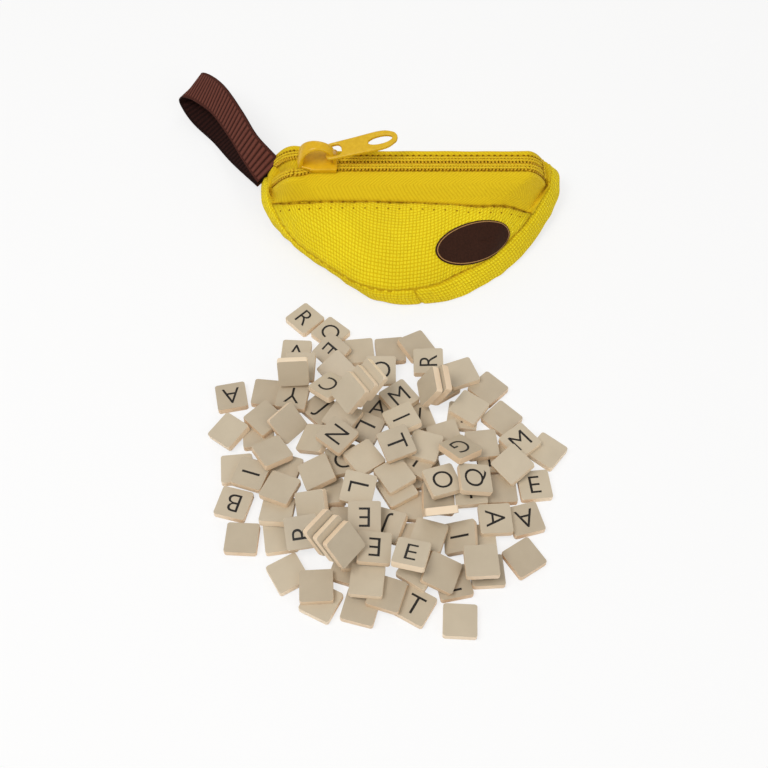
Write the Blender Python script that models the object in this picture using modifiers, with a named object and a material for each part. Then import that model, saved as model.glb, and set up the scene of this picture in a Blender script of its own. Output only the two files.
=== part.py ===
"""Travel word tile game case: a zipped canvas pouch with a webbing loop, and its loose letter tiles.

World frame: metres, +Z up, +X along the zip towards its closed end stop, +Y away from the tile pile.
The origin is the middle of the flat face on which the pouch lies.
"""

import math

import bmesh
import bpy
import numpy as np
from mathutils import Matrix, Vector
from mathutils.bvhtree import BVHTree

MM = 0.001

# Driving dimensions of the pouch
CASE_HALF_LENGTH = 52.0 * MM
CASE_DEPTH = 59.0 * MM
FRONT_REACH = 22.3 * MM
RIDGE_HEIGHT = 23.4 * MM
CANVAS = 0.9 * MM
SEAM_GAP = 0.3 * MM
SEAM_SET = 0.9 * MM
PANEL_PUFF = 3.2 * MM
BAND_BULGE = 0.8 * MM

# Zip
TAPE = 0.7 * MM
CHAIN_WIDTH = 5.6 * MM
CHAIN_THICK = 1.8 * MM
COIL_CORD = 1.1 * MM
COIL_PITCH = 1.4 * MM
COIL_TOOTH = 0.4 * MM
COIL_REACH = 0.5 * MM
ZIP_LEFT_SHARE = 0.8827
ZIP_RIGHT_SHARE = 0.8635
ZIP_STRAIGHT_SHARE = 0.7154
ZIP_LINE_SHARE = 0.7017
ZIP_DROP_SHARE = 0.4487
ZIP_BACK_SHARE = 0.1102
ZIP_LEFT_END = CASE_HALF_LENGTH * ZIP_LEFT_SHARE
ZIP_RIGHT_END = CASE_HALF_LENGTH * ZIP_RIGHT_SHARE
ZIP_STRAIGHT = CASE_HALF_LENGTH * ZIP_STRAIGHT_SHARE
ZIP_LINE = CASE_DEPTH * ZIP_LINE_SHARE - FRONT_REACH
ZIP_PITCH = math.radians(12.0)
ZIP_END_DROP = RIDGE_HEIGHT * ZIP_DROP_SHARE
ZIP_END_BACK = CASE_DEPTH * ZIP_BACK_SHARE
ROW_SPREAD = 2.0 * MM
TACK_LENGTH = 1.3 * MM
TACK_WIDTH = 6.4 * MM
TACK_THICK = 0.6 * MM
TACK_INSET = 1.6 * MM

# Slider
SLIDER_REST_SHARE = -0.5885
SLIDER_REST = CASE_HALF_LENGTH * SLIDER_REST_SHARE
SLIDER_LENGTH = 13.4 * MM
SLIDER_PLATE = 1.2 * MM
SLIDER_WALL = 0.8 * MM
SLIDER_CLEARANCE = 0.35 * MM
SLIDER_POST = 1.5 * MM
BRIDGE_HEIGHT = 6.6 * MM
BRIDGE_WIDTH = 3.0 * MM
BRIDGE_THICK = 1.1 * MM
BRIDGE_FOOT = 0.5 * MM

# Pull tab
TAB_LENGTH = 23.5 * MM
TAB_WIDTH = 7.6 * MM
TAB_THICK = 1.2 * MM
TAB_EYE_LENGTH = 4.4 * MM
TAB_EYE_WIDTH = 4.2 * MM
TAB_SLOT_LENGTH = 8.0 * MM
TAB_SLOT_WIDTH = 3.4 * MM
TAB_MARGIN = 1.7 * MM
TAB_REST_ANGLE = math.radians(11.5)
TAB_YAW = math.radians(5.0)
PIVOT_FROM_TAIL = 3.1 * MM
PIVOT_ABOVE_PLATE = 3.0 * MM

# Webbing loop
WEBBING_WIDTH = 11.0 * MM
WEBBING_THICK = 1.0 * MM
LOOP_LENGTH = 52.0 * MM
LOOP_ROOT_SHARES = (-0.963, 0.849, 0.504)
LOOP_ROOT = Vector(
    (
        LOOP_ROOT_SHARES[0] * CASE_HALF_LENGTH,
        LOOP_ROOT_SHARES[1] * CASE_DEPTH - FRONT_REACH,
        LOOP_ROOT_SHARES[2] * RIDGE_HEIGHT,
    )
)

# Oval patch
LABEL_LENGTH = 27.2 * MM
LABEL_WIDTH = 13.2 * MM
LABEL_THICK = 0.5 * MM
LABEL_TURN = math.radians(21.0)
LABEL_CENTRE_SHARES = (0.386, 0.29, 1.5)
LABEL_CENTRE = Vector(
    (
        LABEL_CENTRE_SHARES[0] * CASE_HALF_LENGTH,
        LABEL_CENTRE_SHARES[1] * CASE_DEPTH - FRONT_REACH,
        LABEL_CENTRE_SHARES[2] * RIDGE_HEIGHT,
    )
)

# Tiles
TILE_WIDTH = 9.0 * MM
TILE_THICK_SHARE = 0.2333
TILE_CORNER_SHARE = 0.061
TILE_SINK_SHARE = 0.0222
PILE_BACK_SHARE = -2.5
TILE_THICK = TILE_WIDTH * TILE_THICK_SHARE
TILE_CORNER = TILE_WIDTH * TILE_CORNER_SHARE
TILE_GAP = 0.32 * MM
TILE_SINK = TILE_WIDTH * TILE_SINK_SHARE
PILE_BACK = TILE_WIDTH * PILE_BACK_SHARE
OVERRUN = 1.0 * MM

# Guide curves of the pouch, as shares of its half length, depth (from the near edge) and ridge height
BAND_LOW_SHARES = (
    (-0.945, 0.985, 0.27), (-0.975, 0.89, 0.26), (-0.985, 0.79, 0.25), (-0.97, 0.70, 0.20), (-0.90, 0.58, 0.11), (-0.775, 0.46, 0.05),
    (-0.60, 0.315, 0.02), (-0.48, 0.235, 0.015), (-0.34, 0.12, 0.015), (-0.20, 0.042, 0.015),
    (0.0, 0.02, 0.015), (0.24, 0.05, 0.015), (0.43, 0.14, 0.02), (0.62, 0.275, 0.025),
    (0.77, 0.43, 0.06), (0.895, 0.605, 0.13), (0.96, 0.72, 0.20), (0.99, 0.82, 0.28),
    (0.985, 0.91, 0.33), (0.95, 1.00, 0.36),
)
BAND_TOP_SHARES = (
    (-0.925, 0.975, 0.375), (-0.94, 0.88, 0.40), (-0.93, 0.79, 0.475), (-0.92, 0.70, 0.475),
    (-0.895, 0.61, 0.43), (-0.765, 0.405, 0.305),
    (-0.60, 0.262, 0.295), (-0.477, 0.168, 0.30), (-0.32, 0.062, 0.32), (-0.14, 0.02, 0.32),
    (0.0, 0.028, 0.32), (0.155, 0.065, 0.32), (0.28, 0.127, 0.325), (0.49, 0.247, 0.34),
    (0.64, 0.385, 0.375), (0.76, 0.52, 0.41), (0.84, 0.635, 0.47), (0.888, 0.72, 0.51),
    (0.918, 0.85, 0.545), (0.885, 0.985, 0.49),
)
FRONT_SEAM_SHARES = (
    (-0.875, 0.618, 0.45), (-0.77, 0.572, 0.565), (-0.55, 0.525, 0.715), (-0.33, 0.514, 0.747),
    (0.0, 0.506, 0.745), (0.23, 0.495, 0.74), (0.42, 0.489, 0.72), (0.60, 0.52, 0.635),
    (0.745, 0.55, 0.445),
)
BACK_SEAM_SHARES = (
    (-0.885, 0.965, 0.42), (-0.73, 0.915, 0.56), (-0.40, 0.885, 0.63), (0.0, 0.88, 0.64),
    (0.40, 0.885, 0.63), (0.73, 0.915, 0.56), (0.865, 0.96, 0.43),
)
BACK_FOLD_SHARES = (
    (-0.89, 0.915, 0.27), (-0.73, 0.81, 0.06), (-0.46, 0.745, 0.0), (0.0, 0.735, 0.0),
    (0.46, 0.745, 0.0), (0.73, 0.81, 0.06), (0.89, 0.915, 0.27),
)
BACK_WALL_SHARES = (
    (-0.90, 0.955, 0.34), (-0.73, 0.885, 0.27), (-0.38, 0.868, 0.26), (0.0, 0.865, 0.26),
    (0.38, 0.868, 0.26), (0.73, 0.885, 0.27), (0.90, 0.955, 0.34),
)
BAND_SPLIT_SHARE = 0.515
# Outline of the slider's plates: place in half lengths and half width in tail half widths
SLIDER_OUTLINE_SHARES = (
    (-1.0, 0.30), (-0.94, 0.62), (-0.84, 0.92), (-0.68, 1.14), (-0.46, 1.24), (-0.22, 1.23),
    (0.1, 1.13), (0.4, 1.05), (0.68, 1.0), (0.93, 1.0), (1.0, 0.9),
)
FLANGE_START_SHARE = -0.28
LOOP_SHARES = (
    (0.0, 0.0, 0.0), (-0.092, 0.148, 0.069), (-0.196, 0.327, 0.112), (-0.335, 0.573, 0.108),
    (-0.482, 0.786, 0.038), (-0.563, 0.885, -0.038), (-0.573, 0.89, -0.14), (-0.483, 0.749, -0.169),
    (-0.327, 0.563, -0.169), (-0.178, 0.322, -0.128), (-0.063, 0.045, -0.058),
)
LOOP_LEAN_SHARES = (
    (-0.48, -0.61, -0.62), (-0.64, 0.0, -0.76), (-0.65, 0.15, -0.73), (-0.65, 0.0, -0.76),
    (-0.71, -0.22, -0.66), (-0.67, -0.48, -0.56), (-0.64, -0.65, -0.40), (-0.60, -0.72, -0.30),
    (-0.62, -0.70, -0.35), (-0.55, -0.70, -0.35), (-0.35, -0.72, -0.28),
)

# Tile places in tile widths, measured from the back of the pile, and the turn of each in degrees
FLOOR_TILE_SHARES = (
    (-3.7, -0.7, -45), (-2.8, -1.3, -42), (-2.0, -1.9, 6), (-3.1, -4.4, -45), (-0.8, -2.0, 6),
    (0.9, -3.5, 33), (-1.2, -4.4, -12), (-6.0, -3.9, -168), (-5.0, -3.8, -6), (-5.7, -6.7, 6),
    (-5.7, -8.0, 165), (-5.3, -9.1, -3), (-2.6, -8.5, 21), (-3.9, -10.2, 30), (-4.2, -9.2, 9),
    (-2.8, -11.2, -27), (-2.1, -10.3, -18), (0.0, -11.3, -30), (-0.1, -8.9, 3), (2.7, -7.4, 3),
    (2.5, -6.4, 6), (2.5, -3.6, -45), (1.6, -4.7, -9), (0.3, -7.2, 12), (-0.2, -7.9, -6),
    (3.8, -7.4, 6), (3.4, -8.5, -165), (4.2, -6.1, -39), (2.0, -9.2, 3), (1.0, -10.7, 12),
    (1.2, -11.7, -3), (3.1, -9.6, 33), (-4.2, -6.7, -18), (-5.1, -5.4, 6), (-1.7, -11.2, -15),
)
SECOND_TILE_SHARES = (
    (-2.8, -2.1, -135), (-4.0, -2.1, -3), (-4.1, -4.1, 171), (0.1, -1.9, 33), (1.6, -3.1, 21),
    (-1.6, -5.2, -117), (-6.0, -5.3, 51), (-4.9, -4.9, 45), (-5.2, -7.0, 72), (-4.3, -8.3, -6),
    (-2.7, -7.9, 6), (-0.8, -8.6, 159), (-3.0, -10.8, 3), (-0.9, -11.0, -18), (0.0, -10.3, -33),
    (0.7, -7.8, 0), (1.6, -7.8, 3), (2.3, -5.9, 6), (3.2, -5.8, 39), (2.9, -4.8, 45),
    (0.1, -4.8, 18), (1.0, -5.5, 18), (-2.3, -6.7, 12), (-0.5, -7.6, 30), (0.0, -6.7, -33),
    (2.2, -8.4, -87), (1.6, -9.2, 90), (2.1, -10.2, -177), (-1.8, -9.5, 3), (-2.2, -8.5, 0),
)
THIRD_TILE_SHARES = (
    (-2.6, -2.9, 42), (-3.8, -2.9, -3), (-4.1, -5.3, 48), (-3.3, -5.6, -21), (-4.4, -6.3, 33),
    (-4.2, -7.5, -24), (-3.3, -8.1, 9), (-3.1, -7.0, 21), (-1.5, -10.7, -6), (0.4, -9.3, -18),
    (1.8, -4.5, -36), (0.3, -6.1, -18), (-0.7, -7.1, 33), (3.1, -6.7, 39), (1.0, -10.3, -21), (-2.4, -5.0, -36),
    (-1.6, -6.6, 36), (1.5, -10.2, 3),
)
# Tiles that lie free on the pile: name, place, turn
TOP_TILE_SHARES = (
    ("C", -2.8, -3.9, 135), ("O", -1.1, -2.9, 0), ("R", 0.5, -2.8, 90), ("M", -0.5, -4.1, 36),
    ("N", -2.5, -5.9, 51), ("R2", -3.5, -9.1, 99), ("I", -0.4, -5.2, -66), ("L", -1.8, -7.7, -102),
    ("E", -1.6, -8.7, -180), ("E2", -1.3, -9.8, 177), ("E3", -0.2, -10.1, -15), ("O2", 0.8, -7.4, 21),
    ("Q", 1.8, -7.4, 93), ("G", 1.4, -6.4, -138), ("T", -0.6, -6.2, -69),
)
# Tiles that lean on one another: name, place of the first, way it leans, lean from flat, how many
FAN_TILE_SHARES = (
    ("fan_a", -1.5, -4.1, 215, 44, 3), ("fan_b", -2.75, -9.6, -39, 50, 3), ("fan_c", 0.8, -4.0, 187, 60, 2),
    ("fan_d", 0.7, -8.6, 97, 64, 1), ("fan_e", -4.0, -3.5, -87, 72, 1),
)

COLOURS = {
    "canvas": (0.78, 0.60, 0.03),
    "tape": (0.68, 0.45, 0.02),
    "coil": (0.70, 0.36, 0.01),
    "slider_enamel": (0.78, 0.43, 0.01),
    "webbing": (0.10, 0.03, 0.02),
    "label_leather": (0.05, 0.02, 0.015),
    "tile_ivory": (0.60, 0.48, 0.34),
}
FINISHES = {
    "canvas": (0.95, 0.0),
    "tape": (0.85, 0.0),
    "coil": (0.45, 0.0),
    "slider_enamel": (0.22, 0.3),
    "webbing": (0.85, 0.0),
    "label_leather": (0.6, 0.0),
    "tile_ivory": (0.45, 0.0),
}


def clear_scene():
    for obj in list(bpy.data.objects):
        bpy.data.objects.remove(obj, do_unlink=True)


def collection(name, hidden=False):
    group = bpy.data.collections.new(name)
    bpy.context.scene.collection.children.link(group)
    group.hide_render = hidden
    return group


def material(name):
    """One Principled material for each finish."""
    found = bpy.data.materials.get(name)
    if found:
        return found
    made = bpy.data.materials.new(name)
    made.use_nodes = True
    shader = made.node_tree.nodes["Principled BSDF"]
    shader.inputs["Base Color"].default_value = (*COLOURS[name], 1.0)
    shader.inputs["Roughness"].default_value = FINISHES[name][0]
    shader.inputs["Metallic"].default_value = FINISHES[name][1]
    return made


def add_object(name, mesh, finish, group):
    obj = bpy.data.objects.new(name, mesh)
    mesh.materials.clear()
    mesh.materials.append(material(finish))
    group.objects.link(obj)
    return obj


def mesh_from(points, faces, name):
    mesh = bpy.data.meshes.new(name)
    mesh.from_pydata([tuple(p) for p in points], [], faces)
    shape = bmesh.new()
    shape.from_mesh(mesh)
    bmesh.ops.recalc_face_normals(shape, faces=shape.faces)
    shape.to_mesh(mesh)
    shape.free()
    return mesh


def catmull(points, steps=24):
    """Points of a smooth curve through the given ones."""
    p = np.array([tuple(q) for q in points], float)
    padded = np.vstack([2 * p[0] - p[1], p, 2 * p[-1] - p[-2]])
    out = []
    for i in range(1, len(padded) - 2):
        a, b, c, d = padded[i - 1 : i + 3]
        for t in np.linspace(0, 1, steps, endpoint=False):
            out.append(
                0.5 * (2 * b + (c - a) * t + (2 * a - 5 * b + 4 * c - d) * t**2 + (3 * b - a - 3 * c + d) * t**3)
            )
    out.append(padded[-2])
    return np.array(out)


def resample(curve, count, start=0.0, end=1.0):
    """Evenly spaced points on part of a curve."""
    length = np.concatenate([[0], np.cumsum(np.linalg.norm(np.diff(curve, axis=0), axis=1))])
    wanted = np.linspace(start, end, count) * length[-1]
    return np.stack([np.interp(wanted, length, curve[:, i]) for i in range(3)], axis=1)


def share_nearest(curve, place):
    """How far along a curve, as a share of its length, a place lies."""
    length = np.concatenate([[0], np.cumsum(np.linalg.norm(np.diff(curve, axis=0), axis=1))])
    return float(length[np.argmin(np.linalg.norm(curve - place, axis=1))] / length[-1])


def guide(shares):
    """A guide curve of the pouch from its shares."""
    return catmull(
        [
            (x * CASE_HALF_LENGTH, y * CASE_DEPTH - FRONT_REACH, z * RIDGE_HEIGHT)
            for x, y, z in shares
        ]
    )


def moved_towards(points, others, distance):
    way = others - points
    return points + way / np.linalg.norm(way, axis=1)[:, None] * distance


def sheet(name, rows, outward, thickness, finish, group):
    """A skin whose outer face passes through rows of points, thickened inward."""
    rows = np.array(rows)
    count, along = rows.shape[:2]
    faces = [
        (j * along + i, j * along + i + 1, (j + 1) * along + i + 1, (j + 1) * along + i)
        for j in range(count - 1)
        for i in range(along - 1)
    ]
    mesh = bpy.data.meshes.new(name)
    mesh.from_pydata([tuple(p) for p in rows.reshape(-1, 3)], [], faces)
    middle = mesh.polygons[(count // 2) * (along - 1) + along // 2 - (along - 1) * (count // 2 == count - 1)]
    if middle.normal.dot(Vector(outward)) < 0:
        mesh.flip_normals()
    obj = add_object(name, mesh, finish, group)
    skin = obj.modifiers.new("skin", "SOLIDIFY")
    skin.thickness = thickness
    skin.offset = -1.0
    skin.use_even_offset = True
    mesh.shade_smooth()
    mesh.set_sharp_from_angle(angle=math.radians(50.0))
    return obj


def puffed(low, high, row_count, puff, up):
    """Rows from one edge to the other, raised between them, less towards the ends."""
    along = len(low)
    end_fade = 1 - np.abs(np.linspace(-1, 1, along)) ** 4
    rows = []
    for w in np.linspace(0, 1, row_count):
        lift = puff * (1 - (2 * w - 1) ** 2) * end_fade
        rows.append(low + (high - low) * w + lift[:, None] * np.array(up))
    return rows


# Zip line


def zip_centre(x):
    """Place of the chain's centre line at x: straight along the ridge, dropping at both ends."""
    end = ZIP_LEFT_END if x < 0 else ZIP_RIGHT_END
    share = max(0.0, (abs(x) - ZIP_STRAIGHT) / (end - ZIP_STRAIGHT))
    return Vector((x, ZIP_LINE + ZIP_END_BACK * share**2, RIDGE_HEIGHT - ZIP_END_DROP * share**2))


def zip_frame(x):
    """Centre, along, across and normal vectors of the chain at x."""
    step = SEAM_GAP
    along = (zip_centre(x + step) - zip_centre(x - step)).normalized()
    across = Vector((0.0, math.cos(ZIP_PITCH), math.sin(ZIP_PITCH)))
    across = (across - along * across.dot(along)).normalized()
    return zip_centre(x), along, across, along.cross(across)


def row_spread(x):
    """How far each row stands off the centre line, past the slider's nose."""
    start = SLIDER_REST + SLIDER_LENGTH * 0.1
    reach = SLIDER_LENGTH * 0.6
    share = min(max((start - x) / reach, 0.0), 1.0)
    return ROW_SPREAD * share * share * (3 - 2 * share)


def zip_point(x, side, off, height=0.0):
    """A point beside the chain: side is -1 for the front row and 1 for the back one."""
    centre, _, across, normal = zip_frame(x)
    return centre + across * side * (off + row_spread(x)) + normal * height


def zip_stations(count):
    """Values of x evenly spaced along the zip's length."""
    xs = np.linspace(-ZIP_LEFT_END, ZIP_RIGHT_END, 400)
    line = np.array([tuple(zip_centre(x)) for x in xs])
    length = np.concatenate([[0], np.cumsum(np.linalg.norm(np.diff(line, axis=0), axis=1))])
    return np.interp(np.linspace(0, length[-1], count), length, xs)


def zip_length():
    xs = np.linspace(-ZIP_LEFT_END, ZIP_RIGHT_END, 400)
    line = np.array([tuple(zip_centre(x)) for x in xs])
    return float(np.linalg.norm(np.diff(line, axis=0), axis=1).sum())


def build_coil(name, side, group):
    """One row of the chain: a cord with teeth that reach past the centre line between the other row's."""
    half = CHAIN_WIDTH / 2
    teeth = int(zip_length() / COIL_PITCH) - 1
    # Each tooth takes four stations: root, face, face and root
    pitch_shares = []
    for k in range(teeth):
        middle = k + (0.5 if side < 0 else 1.0)
        half_tooth = COIL_TOOTH / COIL_PITCH / 2
        pitch_shares.append((middle - half_tooth, middle + half_tooth))
    total = teeth + 0.75
    edges = [0.0]
    inner = [False]
    for low, high in pitch_shares:
        edges += [low, high]
        inner += [True, True]
    edges.append(total)
    inner.append(False)
    xs_even = zip_stations(600)
    to_x = lambda share: float(np.interp(share / total, np.linspace(0, 1, 600), xs_even))
    outline = []
    for k in range(1, len(edges) - 1, 2):
        for at, reach in ((edges[k], False), (edges[k], True), (edges[k + 1], True), (edges[k + 1], False)):
            outline.append((to_x(at), half + COIL_REACH if reach else COIL_CORD))
    outline.insert(0, (to_x(0.0), COIL_CORD))
    outline.append((to_x(total), COIL_CORD))
    points = []
    for x, w in outline:
        tooth = w > COIL_CORD
        lift = CHAIN_THICK / 2 * (0.8 if tooth else 1.0)
        for height in (-lift, lift):
            points.append(zip_point(x, side, half - w, height))
    for x, _ in outline:
        for height in (-CHAIN_THICK / 2, CHAIN_THICK / 2):
            points.append(zip_point(x, side, half, height))
    count = len(outline)
    inner_low = lambda i: 2 * i
    inner_high = lambda i: 2 * i + 1
    outer_low = lambda i: 2 * (count + i)
    outer_high = lambda i: 2 * (count + i) + 1
    faces = []
    cord = [i for i, (_, w) in enumerate(outline) if w == COIL_CORD]
    for a, b in zip(cord[:-1], cord[1:]):
        faces.append((inner_low(a), inner_low(b), outer_low(b), outer_low(a)))
        faces.append((inner_high(a), inner_high(b), outer_high(b), outer_high(a)))
        faces.append((outer_low(a), outer_low(b), outer_high(b), outer_high(a)))
        if b - a == 1:
            faces.append((inner_low(a), inner_low(b), inner_high(b), inner_high(a)))
        else:
            faces.append((inner_low(a), inner_low(a + 1), inner_low(a + 2), inner_low(b)))
            faces.append((inner_high(a), inner_high(a + 1), inner_high(a + 2), inner_high(b)))
            for i in (a, a + 1, a + 2):
                faces.append((inner_low(i), inner_low(i + 1), inner_high(i + 1), inner_high(i)))
    for i in (0, count - 1):
        faces.append((inner_low(i), inner_high(i), outer_high(i), outer_low(i)))
    used = sorted({v for f in faces for v in f})
    renumber = {v: n for n, v in enumerate(used)}
    mesh = mesh_from([points[v] for v in used], [tuple(renumber[v] for v in f) for f in faces], name)
    return add_object(name, mesh, "coil", group)


def build_tape(name, side, seam, group):
    """Tape from the coil's outer edge, level with the chain under the slider, down to its seam."""
    stations = zip_stations(45)
    half = CHAIN_WIDTH / 2
    level = SLIDER_WALL + 2 * SLIDER_CLEARANCE
    start = np.array([tuple(zip_point(x, side, half + SEAM_GAP, TAPE / 2)) for x in stations])
    flat = np.array([tuple(zip_point(x, side, half + SEAM_GAP + level, TAPE / 2)) for x in stations])
    edge = resample(guide(seam), 45)
    edge = moved_towards(edge, flat, SEAM_GAP)
    sag = (0.0, -0.4, 1.0) if side < 0 else (0.0, 0.9, 0.3)
    rows = [start] + puffed(flat, edge, 5, PANEL_PUFF * (0.15 if side < 0 else 0.19), sag)
    outward = (0, -0.4, 0.9) if side < 0 else (0, 0.9, 0.4)
    return sheet(name, rows, outward, TAPE, "tape", group)


# Pouch panels


def build_panels(group):
    low = guide(BAND_LOW_SHARES)
    top = guide(BAND_TOP_SHARES)
    seam = guide(FRONT_SEAM_SHARES)
    left = share_nearest(top, seam[0])
    right = share_nearest(top, seam[-1])
    columns = 37
    near = resample(top, columns, left, right)
    far = resample(seam, columns)
    near_in = moved_towards(near, far, SEAM_SET)
    far_in = moved_towards(far, near, SEAM_GAP)
    front_rows = puffed(near_in, far_in, 8, PANEL_PUFF, (0.0, -0.4, 0.92))
    sheet("front_panel", front_rows, (0, -0.4, 0.9), CANVAS, "canvas", group)

    strip = 61
    for name, a, b in (
        ("bottom_band_left", 0.0, BAND_SPLIT_SHARE),
        ("bottom_band_right", BAND_SPLIT_SHARE, 1.0),
    ):
        trim = SEAM_GAP / 2 / CASE_HALF_LENGTH / 4
        a_in = a + (trim if a else 0)
        b_in = b - (trim if b < 1 else 0)
        count = int(strip * (b - a))
        lower = resample(low, count, a_in, b_in)
        upper = resample(top, count, a_in, b_in)
        away = np.stack([lower[:, 0], lower[:, 1] - CASE_DEPTH / 3, 0 * lower[:, 0]], axis=1)
        away /= np.linalg.norm(away, axis=1)[:, None]
        rows = [
            lower + (upper - lower) * w + away * BAND_BULGE * (1 - (2 * w - 1) ** 2)
            for w in np.linspace(0, 1, 4)
        ]
        sheet(name, rows, away[count // 2], CANVAS, "canvas", group)

    seat = CANVAS + SEAM_GAP + BAND_BULGE / 2
    inset = resample(low, 45, 0.075, 0.925)
    centre = np.array([0.0, CASE_DEPTH / 3, 0.0])
    inward = centre - inset
    inward[:, 2] = 0
    inward /= np.linalg.norm(inward, axis=1)[:, None]
    inset = inset + inward * seat
    inset[:, 2] = np.maximum(inset[:, 2] - BAND_LOW_SHARES[9][2] * RIDGE_HEIGHT * 1.6, 0.0)
    fold = resample(guide(BACK_FOLD_SHARES), 45)
    fold[:, 2] = np.maximum(fold[:, 2], 0.0)
    wall = resample(guide(BACK_WALL_SHARES), 45)
    upper = resample(guide(BACK_SEAM_SHARES), 45)
    upper = moved_towards(upper, wall, SEAM_SET)
    rows = [inset + (fold - inset) * w for w in np.linspace(0, 1, 5)] + [wall, upper]
    sheet("back_panel", rows, (0, 0, -1), CANVAS, "canvas", group)
    return near_in, far_in


def build_label(near_in, far_in, group):
    """Oval patch that lies on the front panel and follows its curve."""
    rows = np.array(puffed(near_in, far_in, 8, PANEL_PUFF, (0.0, -0.4, 0.92)))
    along = rows.shape[1]
    faces = [
        (j * along + i, j * along + i + 1, (j + 1) * along + i + 1, (j + 1) * along + i)
        for j in range(rows.shape[0] - 1)
        for i in range(along - 1)
    ]
    panel = BVHTree.FromPolygons([tuple(p) for p in rows.reshape(-1, 3)], faces)
    centre, normal, _, _ = panel.ray_cast(LABEL_CENTRE, Vector((0, 0, -1)))
    if normal.z < 0:
        normal = -normal
    flat = Vector((math.cos(LABEL_TURN), math.sin(LABEL_TURN), 0))
    long_way = (flat - normal * flat.dot(normal)).normalized()
    short_way = normal.cross(long_way)
    spokes = 32
    points = []
    for radius, count in ((0.0, 1), (0.4, spokes), (0.72, spokes), (1.0, spokes)):
        for k in range(count):
            # The panel's seam cuts the oval where it reaches past it
            spoke = long_way * (LABEL_LENGTH / 2 * math.cos(2 * math.pi * k / spokes))
            spoke += short_way * (LABEL_WIDTH / 2 * math.sin(2 * math.pi * k / spokes))
            rim = 1.0
            while panel.ray_cast(centre + spoke * rim + normal * LABEL_LENGTH, -normal, 2 * LABEL_LENGTH)[0] is None:
                rim -= 0.02
            start = centre + spoke * rim * radius + normal * LABEL_LENGTH
            hit = panel.ray_cast(start, -normal, 2 * LABEL_LENGTH)[0]
            points.append(hit + normal * (SEAM_GAP + LABEL_THICK))
    faces = [(0, 1 + k, 1 + (k + 1) % spokes) for k in range(spokes)]
    for ring in (1, 1 + spokes):
        for k in range(spokes):
            after = (k + 1) % spokes
            faces.append((ring + k, ring + spokes + k, ring + spokes + after, ring + after))
    mesh = bpy.data.meshes.new("label_patch")
    mesh.from_pydata([tuple(p) for p in points], [], faces)
    if mesh.polygons[0].normal.dot(normal) < 0:
        mesh.flip_normals()
    obj = add_object("label_patch", mesh, "label_leather", group)
    skin = obj.modifiers.new("skin", "SOLIDIFY")
    skin.thickness = LABEL_THICK
    skin.offset = -1.0
    return obj


def build_zip_tack(group):
    """Short stitched bar over the closed end of the chain."""
    blank = rounded_rectangle(-TACK_LENGTH / 2, TACK_LENGTH / 2, TACK_WIDTH / 2, TACK_LENGTH * 0.4)
    mesh = extruded(blank, 0.0, TACK_THICK, "zip_tack")
    tack = add_object("zip_tack", mesh, "coil", group)
    place = zip_matrix(ZIP_RIGHT_END - TACK_INSET)
    tack.matrix_world = place @ Matrix.Translation((0, 0, CHAIN_THICK / 2 + SEAM_GAP))
    return tack


def build_loop(group):
    """Webbing loop: a strap of one width that leaves the zip's left end and comes back to it."""
    route = catmull([LOOP_ROOT + Vector(s) * LOOP_LENGTH for s in LOOP_SHARES], 6)
    lean = catmull([Vector(s).normalized() for s in LOOP_LEAN_SHARES], 6)
    lean /= np.linalg.norm(lean, axis=1)[:, None]
    heading = np.gradient(route, axis=0)
    heading /= np.linalg.norm(heading, axis=1)[:, None]
    lean -= heading * np.sum(lean * heading, axis=1)[:, None]
    lean /= np.linalg.norm(lean, axis=1)[:, None]
    rows = [route + lean * WEBBING_WIDTH * w for w in (-0.5, 0.0, 0.5)]
    obj = sheet("webbing_loop", rows, (-0.2, -0.4, 0.9), WEBBING_THICK, "webbing", group)
    obj.modifiers["skin"].offset = 0.0
    return obj


# Slider and pull tab, in the chain's own frame


def zip_matrix(x):
    centre, along, across, normal = zip_frame(x)
    turn = Matrix((along, across, normal)).transposed().to_4x4()
    return Matrix.Translation(centre) @ turn


def extruded(outline, low, high, name):
    """A prism on an outline in its own XY plane."""
    count = len(outline)
    points = [(x, y, low) for x, y in outline] + [(x, y, high) for x, y in outline]
    faces = [tuple(range(count)), tuple(range(count, 2 * count))]
    faces += [(i, (i + 1) % count, count + (i + 1) % count, count + i) for i in range(count)]
    return mesh_from(points, faces, name)


def temp_object(mesh, group):
    obj = bpy.data.objects.new(mesh.name, mesh)
    group.objects.link(obj)
    return obj


def applied(obj, name):
    """The object's evaluated mesh, with its modifiers in it."""
    graph = bpy.context.evaluated_depsgraph_get()
    mesh = bpy.data.meshes.new_from_object(obj.evaluated_get(graph))
    mesh.name = name
    return mesh


def combined(base, others, operation):
    for other in others:
        cut = base.modifiers.new(operation.lower(), "BOOLEAN")
        cut.operation = operation
        cut.solver = "EXACT"
        cut.object = other
    return applied(base, base.name)


def slider_outline():
    """Shield outline of the two plates: rounded nose, widest behind it, narrow tail."""
    half = SLIDER_LENGTH / 2
    tail = CHAIN_WIDTH / 2 + SLIDER_CLEARANCE + SLIDER_WALL
    top = [(x * half, w * tail) for x, w in SLIDER_OUTLINE_SHARES]
    return top + [(x, -y) for x, y in reversed(top)]


def channel_outline():
    """Room for the two rows: between the flanges at the tail, open to both sides at the nose."""
    half = SLIDER_LENGTH / 2
    start = half * FLANGE_START_SHARE
    top = [(-half - OVERRUN, SLIDER_LENGTH), (start, SLIDER_LENGTH)]
    for x in np.linspace(start, half + OVERRUN, 11):
        top.append((x, CHAIN_WIDTH / 2 + SLIDER_CLEARANCE + row_spread(SLIDER_REST + x)))
    return top + [(x, -y) for x, y in reversed(top)]


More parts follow.
